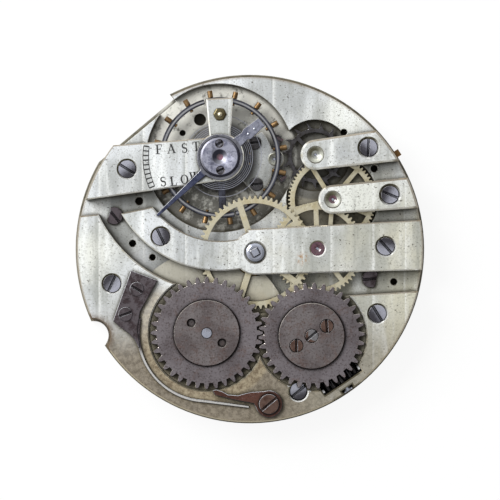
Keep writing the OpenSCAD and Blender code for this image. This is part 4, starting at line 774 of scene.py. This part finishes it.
def lathe_ring(name, centre, profile, material, steps=72, body="frame"):
    """A closed ring turned from a profile of radius and height."""
    points = []
    faces = []
    count = len(profile)
    for i in range(steps):
        for radius, height in profile:
            points.append((*polar(centre, radius, 360 * i / steps), height))
    for i in range(steps):
        for k in range(count):
            a = i * count + k
            b = i * count + (k + 1) % count
            c = ((i + 1) % steps) * count + (k + 1) % count
            d = ((i + 1) % steps) * count + k
            faces.append((a, d, c, b))
    return mesh_piece(name, points, faces, material, body)


def dome(name, centre, radius, level, height, material, body):
    """Round-topped end of a pin."""
    tip = 0.01
    rings = 5
    profile = [(tip, level), (radius, level)]
    for i in range(1, rings + 1):
        angle = math.radians(90 * i / rings)
        profile.append((max(radius * math.cos(angle), tip), level + height * math.sin(angle)))
    piece = lathe_ring(name, centre, profile, material, steps=36, body=body)
    add_nodes(piece, "shading", smooth_rounds)


# Mesh clean-up, chamfers and shading of the CAD pieces
def node_tree(name):
    """An empty geometry node group with its start and end."""
    tree = bpy.data.node_groups.new(name, "GeometryNodeTree")
    tree.interface.new_socket("Geometry", in_out="INPUT", socket_type="NodeSocketGeometry")
    tree.interface.new_socket("Geometry", in_out="OUTPUT", socket_type="NodeSocketGeometry")
    return tree, tree.nodes.new("NodeGroupInput"), tree.nodes.new("NodeGroupOutput")


def weld_group():
    """Drops the imported normals and joins the faces of a solid along their edges."""
    tree, start, end = node_tree("weld_faces")
    drop = tree.nodes.new("GeometryNodeRemoveAttribute")
    drop.inputs["Name"].default_value = "custom_normal"
    weld = tree.nodes.new("GeometryNodeMergeByDistance")
    weld.inputs["Distance"].default_value = WELD_DISTANCE
    tree.links.new(start.outputs[0], drop.inputs["Geometry"])
    tree.links.new(drop.outputs[0], weld.inputs["Geometry"])
    tree.links.new(weld.outputs[0], end.inputs[0])
    return tree


def top_edge_group(name, level):
    """Marks the sharp edges above a level for the chamfer."""
    tree, start, end = node_tree(name)
    angle = tree.nodes.new("GeometryNodeInputMeshEdgeAngle")
    sharp = operation_node(tree, "FunctionNodeCompare", "GREATER_THAN")
    sharp.inputs[1].default_value = math.radians(SHARP_ANGLE)
    place = tree.nodes.new("GeometryNodeInputPosition")
    split = tree.nodes.new("ShaderNodeSeparateXYZ")
    above = operation_node(tree, "FunctionNodeCompare", "GREATER_THAN")
    above.inputs[1].default_value = level * MM
    both = operation_node(tree, "FunctionNodeBooleanMath", "AND")
    keep = tree.nodes.new("GeometryNodeStoreNamedAttribute")
    keep.data_type = "FLOAT"
    keep.domain = "EDGE"
    keep.inputs["Name"].default_value = "bevel_weight_edge"
    tree.links.new(angle.outputs["Unsigned Angle"], sharp.inputs[0])
    tree.links.new(place.outputs[0], split.inputs[0])
    tree.links.new(split.outputs["Z"], above.inputs[0])
    tree.links.new(sharp.outputs[0], both.inputs[0])
    tree.links.new(above.outputs[0], both.inputs[1])
    tree.links.new(start.outputs[0], keep.inputs["Geometry"])
    tree.links.new(both.outputs[0], keep.inputs["Value"])
    tree.links.new(keep.outputs[0], end.inputs[0])
    return tree


def smooth_group():
    """Shades round sides smooth and keeps the other edges sharp."""
    tree, start, end = node_tree("smooth_rounds")
    angle = tree.nodes.new("GeometryNodeInputMeshEdgeAngle")
    soft = operation_node(tree, "FunctionNodeCompare", "LESS_THAN")
    soft.inputs[1].default_value = math.radians(SMOOTH_ANGLE)
    faces = tree.nodes.new("GeometryNodeSetShadeSmooth")
    faces.domain = "FACE"
    edges = tree.nodes.new("GeometryNodeSetShadeSmooth")
    edges.domain = "EDGE"
    tree.links.new(angle.outputs["Unsigned Angle"], soft.inputs[0])
    tree.links.new(start.outputs[0], faces.inputs["Geometry"])
    tree.links.new(faces.outputs[0], edges.inputs["Geometry"])
    tree.links.new(soft.outputs[0], edges.inputs["Shade Smooth"])
    tree.links.new(edges.outputs[0], end.inputs[0])
    return tree


def add_nodes(piece, name, tree):
    """Adds a geometry node group to a piece as a modifier."""
    modifier = piece.modifiers.new(name, "NODES")
    modifier.node_group = tree


def dress(node, material, width, edge_material, top_edges):
    """Gives a CAD piece its material, chamfers and shading; with top_edges only those are chamfered."""
    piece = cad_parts[node]
    piece.data.materials.clear()
    piece.data.materials.append(material)
    piece.data.materials.append(edge_material)
    add_nodes(piece, "weld", weld_faces)
    flat = piece.modifiers.new("flat", "DECIMATE")
    flat.decimate_type = "DISSOLVE"
    flat.angle_limit = math.radians(FLAT_ANGLE)
    if top_edges is not None:
        add_nodes(piece, "top_edges", top_edges)
    bevel = piece.modifiers.new("chamfer", "BEVEL")
    bevel.width = width * MM
    bevel.segments = 1
    bevel.limit_method = "ANGLE" if top_edges is None else "WEIGHT"
    bevel.angle_limit = math.radians(SHARP_ANGLE)
    bevel.use_clamp_overlap = False
    bevel.loop_slide = False
    bevel.material = 1
    add_nodes(piece, "shading", smooth_rounds)


def solid_middles(node):
    """Middles in plan of the separate round solids of a CAD piece, in millimetres."""
    clusters = []
    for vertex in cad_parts[node].data.vertices:
        point = (vertex.co.x / MM, vertex.co.y / MM)
        for cluster in clusters:
            if math.dist(point, cluster[0]) < SCREW_SPACING:
                cluster.append(point)
                break
        else:
            clusters.append([point])
    middles = []
    for cluster in clusters:
        xs = [point[0] for point in cluster]
        ys = [point[1] for point in cluster]
        middles.append(((min(xs) + max(xs)) / 2, (min(ys) + max(ys)) / 2))
    return middles


# Floor, world and lights
def floor_material():
    """White floor that keeps a soft shadow and stays dark under the movement."""
    material = bpy.data.materials.new("floor_white")
    material.use_nodes = True
    tree = material.node_tree
    bsdf = tree.nodes["Principled BSDF"]
    bsdf.inputs["Base Color"].default_value = (0.9, 0.9, 0.9, 1)
    bsdf.inputs["Roughness"].default_value = 0.9
    rays = tree.nodes.new("ShaderNodeLightPath")
    seen = operation_node(tree, "ShaderNodeMath", "MAXIMUM")
    also = operation_node(tree, "ShaderNodeMath", "MAXIMUM")
    coordinates = tree.nodes.new("ShaderNodeTexCoord")
    length = operation_node(tree, "ShaderNodeVectorMath", "LENGTH")
    open_floor = range_node(tree, FLOOR_DARK_R, FLOOR_WHITE_R, 0.0, FLOOR_GLOW, "LINEAR")
    share = operation_node(tree, "ShaderNodeMath", "MULTIPLY")
    glow = tree.nodes.new("ShaderNodeEmission")
    mix = tree.nodes.new("ShaderNodeMixShader")
    tree.links.new(rays.outputs["Is Camera Ray"], seen.inputs[0])
    tree.links.new(rays.outputs["Is Glossy Ray"], seen.inputs[1])
    tree.links.new(seen.outputs[0], also.inputs[0])
    tree.links.new(rays.outputs["Is Transmission Ray"], also.inputs[1])
    tree.links.new(coordinates.outputs["Object"], length.inputs[0])
    tree.links.new(length.outputs["Value"], open_floor.inputs["Value"])
    tree.links.new(also.outputs[0], share.inputs[0])
    tree.links.new(open_floor.outputs["Result"], share.inputs[1])
    tree.links.new(share.outputs[0], mix.inputs[0])
    tree.links.new(bsdf.outputs[0], mix.inputs[1])
    tree.links.new(glow.outputs[0], mix.inputs[2])
    tree.links.new(mix.outputs[0], tree.nodes["Material Output"].inputs["Surface"])
    return material


def make_floor():
    """Square floor just under the movement."""
    half = FLOOR_HALF
    mesh = bpy.data.meshes.new("floor")
    corners = [(-half, -half, 0), (half, -half, 0), (half, half, 0), (-half, half, 0)]
    mesh.from_pydata(corners, [], [(0, 1, 2, 3)])
    floor = bpy.data.objects.new("floor", mesh)
    floor.location.z = -FLOOR_DROP
    floor.data.materials.append(floor_material())
    bpy.context.scene.collection.objects.link(floor)


def make_world():
    """Pale studio, brighter from the upper left and along the horizon."""
    world = bpy.data.worlds.new("studio")
    bpy.context.scene.world = world
    world.use_nodes = True
    tree = world.node_tree
    background = tree.nodes["Background"]
    coordinates = tree.nodes.new("ShaderNodeTexCoord")
    side = operation_node(tree, "ShaderNodeVectorMath", "DOT_PRODUCT")
    side.inputs[1].default_value = (-0.5, 0.62, 0)
    lit = range_node(tree, -0.45, 0.45, 0.3, 0.8)
    split = tree.nodes.new("ShaderNodeSeparateXYZ")
    rim = range_node(tree, 0.0, 0.5, 0.35, 0.0)
    total = operation_node(tree, "ShaderNodeMath", "ADD")
    tree.links.new(coordinates.outputs["Generated"], side.inputs[0])
    tree.links.new(side.outputs["Value"], lit.inputs["Value"])
    tree.links.new(coordinates.outputs["Generated"], split.inputs[0])
    tree.links.new(split.outputs["Z"], rim.inputs["Value"])
    tree.links.new(lit.outputs["Result"], total.inputs[0])
    tree.links.new(rim.outputs["Result"], total.inputs[1])
    tree.links.new(total.outputs[0], background.inputs["Strength"])
    background.inputs["Color"].default_value = (0.98, 0.99, 1.0, 1)


def softbox(name, place, size, power):
    """Square area lamp that points at the middle of the movement."""
    lamp = bpy.data.lights.new(name, "AREA")
    lamp.shape = "SQUARE"
    lamp.size = size
    lamp.energy = power
    box = bpy.data.objects.new(name, lamp)
    box.location = place
    box.rotation_euler = (-Vector(place)).to_track_quat("-Z", "Y").to_euler()
    bpy.context.scene.collection.objects.link(box)


def make_camera():
    """Straight above the movement, as in the photograph."""
    data = bpy.data.cameras.new("camera")
    data.sensor_width = CAMERA_SENSOR
    data.lens = CAMERA_LENS
    data.clip_start = 0.01
    data.clip_end = 10
    camera = bpy.data.objects.new("camera", data)
    camera.location = CAMERA_PLACE
    bpy.context.scene.collection.objects.link(camera)
    bpy.context.scene.camera = camera


# The scene, built round the CAD pieces
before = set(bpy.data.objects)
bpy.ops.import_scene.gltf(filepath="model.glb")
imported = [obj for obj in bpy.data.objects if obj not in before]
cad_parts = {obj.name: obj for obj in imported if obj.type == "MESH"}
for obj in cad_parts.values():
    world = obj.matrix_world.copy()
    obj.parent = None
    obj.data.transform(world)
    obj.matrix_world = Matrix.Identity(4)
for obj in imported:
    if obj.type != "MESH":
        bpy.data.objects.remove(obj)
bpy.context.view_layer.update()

plate_silver = frosted_silver(
    "plate_silver", floor_z=2.5, floor_tarnish_and_shade=srgb(132, 126, 108), floor_share=0.85, tan_share=0.0
)
bridge_silver = frosted_silver(
    "bridge_silver", floor_z=4.95, floor_tarnish_and_shade=srgb(182, 176, 156), floor_share=0.7, tan_share=0.55
)
pallet_silver = frosted_silver(
    "pallet_silver", floor_z=-1.0, floor_tarnish_and_shade=srgb(150, 134, 106), floor_share=0.0, tan_share=0.0
)
screw_middles = solid_middles("bridge_screws")
bevel_silver = bright_bevel(screw_middles + [THIRD])
head_steel = screw_head_steel(screw_middles)
bowl_silver = jewel_bowl()
edge_steel = lit_edge("edge_steel", srgb(66, 64, 68), srgb(232, 232, 236))
cap_edge = lit_edge("cap_edge", srgb(62, 54, 52), srgb(186, 178, 172))
screw_steel = polished_steel("screw_steel", srgb(150, 150, 164), srgb(74, 70, 72), 0.2, 0.4)
core_middles = solid_middles("crown_core_screws")
core_middle = [sum(axis) / len(core_middles) for axis in zip(*core_middles)]
brown_steel = polished_steel("brown_steel", srgb(126, 102, 92), srgb(84, 62, 54), 0.22, 0.42, core_middle)
block_steel = polished_steel("block_steel", srgb(108, 100, 104), srgb(66, 58, 60), 0.26, 0.42)
slate_steel = end_piece_steel()
blue_steel = regulator_steel()
arbor_steel = polished_steel("arbor_steel", srgb(196, 200, 214), srgb(146, 146, 152), 0.16)
# Darker steel, partly painted shade, for the pieces low in the sinks and the chamfers of the balance rim
dark_steel = polished_steel("dark_steel", srgb(92, 90, 92), srgb(58, 54, 52), 0.24, 0.42)
black_steel = polished_steel("black_steel", srgb(54, 52, 52), srgb(34, 30, 28), 0.22)
coil_steel = polished_steel("coil_steel", srgb(186, 188, 200), srgb(130, 130, 140), 0.26, 0.45)
rim_steel = rim_steel_look()
wheel_steel = rusted_steel("wheel_steel", srgb(122, 116, 119), srgb(100, 93, 95), srgb(94, 72, 64), 0.72)
core_steel = rusted_steel("core_steel", srgb(122, 116, 116), srgb(94, 86, 86), srgb(88, 66, 58), 0.67)
click_steel = rusted_steel("click_steel", srgb(106, 74, 64), srgb(76, 50, 42), srgb(88, 50, 40), 0.7, 0.3)
pale_brass = brass_metal("pale_brass", srgb(238, 230, 202), srgb(206, 194, 158), 0.28)
old_brass = brass_metal("old_brass", srgb(164, 142, 96), srgb(112, 92, 58), 0.34)
nut_brass = brass_metal("nut_brass", srgb(116, 107, 80), srgb(70, 63, 44), 0.3)
pin_brass = brass_metal("pin_brass", srgb(134, 102, 66), srgb(92, 66, 42), 0.4)
screw_brass = brass_metal("screw_brass", srgb(148, 120, 86), srgb(94, 74, 50), 0.36)
ruby = ruby_glass()
ink = engraved_ink()
spring_steel = click_spring_steel()

weld_faces = weld_group()
smooth_rounds = smooth_group()
plate_edges = top_edge_group("plate_edges", PLATE_TOP - 0.05)
bridge_edges = top_edge_group("bridge_edges", BRIDGE_TOP - 0.05)
end_piece_edges = top_edge_group("end_piece_edges", REGULATOR_TOP + 0.2)

# Material, chamfer width in millimetres, material of the chamfer, edges to chamfer, nodes
DRESSING = [
    (plate_silver, 0.05, bevel_silver, plate_edges, ["main_plate"]),
    (bridge_silver, 0.16, bevel_silver, bridge_edges, ["barrel_bridge", "centre_bridge", "balance_cock"]),
    (bridge_silver, 0.24, bevel_silver, bridge_edges, ["fourth_wheel_bar", "escape_wheel_bar"]),
    (pallet_silver, 0.1, bevel_silver, None, ["pallet_bridge"]),
    (head_steel, 0.035, edge_steel, None, ["bridge_screws"]),
    (screw_steel, 0.035, edge_steel, None, ["end_piece_screws"]),
    (dark_steel, 0.035, edge_steel, None, ["pallet_bridge_screws"]),
    (block_steel, 0.035, edge_steel, None, ["click_spring_screws", "case_screws"]),
    (brown_steel, 0.035, edge_steel, None, ["crown_core_screws", "click_screw"]),
    (slate_steel, 0.06, cap_edge, end_piece_edges, ["balance_end_piece"]),
    (blue_steel, 0.04, edge_steel, None, ["regulator"]),
    (arbor_steel, 0.02, arbor_steel, None, [
        "barrel_arbor", "centre_arbor", "third_arbor", "fourth_arbor", "escape_arbor", "pallet_arbor",
        "balance_staff", "roller", "yoke",
    ]),
    (arbor_steel, 0.06, edge_steel, None, ["hand_arbor_head", "winding_stem"]),
    (dark_steel, 0.02, edge_steel, None, ["pallet_fork", "escape_wheel"]),
    (black_steel, 0.02, edge_steel, None, ["winding_pinion", "sliding_pinion"]),
    (rim_steel, 0.05, dark_steel, None, ["balance_wheel"]),
    (wheel_steel, 0.05, cap_edge, None, ["ratchet_wheel", "crown_wheel"]),
    (core_steel, 0.06, cap_edge, None, ["ratchet_cap", "crown_wheel_core"]),
    (click_steel, 0.06, edge_steel, None, ["click"]),
    (spring_steel, 0.05, edge_steel, None, ["click_spring"]),
    (pale_brass, 0.02, pale_brass, None, ["centre_wheel", "third_wheel", "fourth_wheel"]),
    (old_brass, 0.03, old_brass, None, [
        "barrel_drum", "barrel_cover", "steady_pins", "banking_pins", "hairspring_stud",
        "hairspring_collet", "minute_wheel", "hour_wheel", "setting_wheel", "cannon_pinion", "mainspring",
    ]),
    (pin_brass, 0.03, pin_brass, None, ["rim_pin"]),
    (screw_brass, 0.04, screw_brass, None, ["balance_screws"]),
    (ruby, 0.02, ruby, None, [
        "train_jewels", "balance_jewels", "end_stones", "pallet_stones", "impulse_jewel",
    ]),
]
for material, width, edge_material, top_edges, nodes in DRESSING:
    for node in nodes:
        dress(node, material, width, edge_material, top_edges)

hairspring = full_hairspring(coil_steel)
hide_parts("hairspring")
cock_legend(ink)

# Cones in the settings of the fourth and escape wheel jewels
CONE_FLOOR = JEWEL_TOP + 0.004
CONE_RIM = BRIDGE_TOP - 0.01
CONE_PROFILE = [
    (0.5, CONE_FLOOR),
    (0.98, CONE_FLOOR),
    (0.98, CONE_RIM),
    (0.93, CONE_RIM),
]
for name, centre in (("fourth_setting", FOURTH), ("escape_setting", ESCAPE)):
    setting = lathe_ring(name, centre, CONE_PROFILE, bowl_silver)
    add_nodes(setting, "shading", smooth_rounds)

# Bright ring round the pallet jewel
PALLET_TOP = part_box("pallet_bridge")[1][2] / MM
PALLET_PROFILE = [
    (0.45, PALLET_TOP - 0.05),
    (0.8, PALLET_TOP - 0.05),
    (0.8, PALLET_TOP + 0.01),
    (0.7, PALLET_TOP + 0.03),
    (0.45, PALLET_TOP + 0.005),
]
lathe_ring("pallet_setting", PALLET, PALLET_PROFILE, bowl_silver)

# Six-sided nut and domed end of the hairspring stud
STUD = polar(BALANCE, SPRING_OUT, STUD_ANGLE)
NUT_TOP = COCK_TOP + 0.16
NUT_SHOULDER = COCK_TOP + 0.1
NUT_PROFILE = [
    (0.36, COCK_TOP),
    (0.8, COCK_TOP),
    (0.8, NUT_SHOULDER),
    (0.68, NUT_TOP),
    (0.36, NUT_TOP),
]
lathe_ring("stud_nut", STUD, NUT_PROFILE, nut_brass, steps=6)
dome(
    "stud_dome", STUD, radius=0.34, level=COCK_TOP + 0.02, height=0.3,
    material=pale_brass, body="frame",
)

# Rounded tops of the curb pins on the tail of the regulator
for i, orbit in enumerate(CURB_ORBITS):
    place = polar(BALANCE, orbit, CURB_ANGLE)
    dome(
        f"curb_pin_top_{i}", place, radius=0.17, level=REGULATOR_TOP, height=0.1,
        material=arbor_steel, body="regulator",
    )

make_floor()
make_world()
softbox("key", KEY_PLACE, KEY_SIZE, KEY_POWER)
make_camera()
bpy.context.scene.view_settings.view_transform = "Standard"
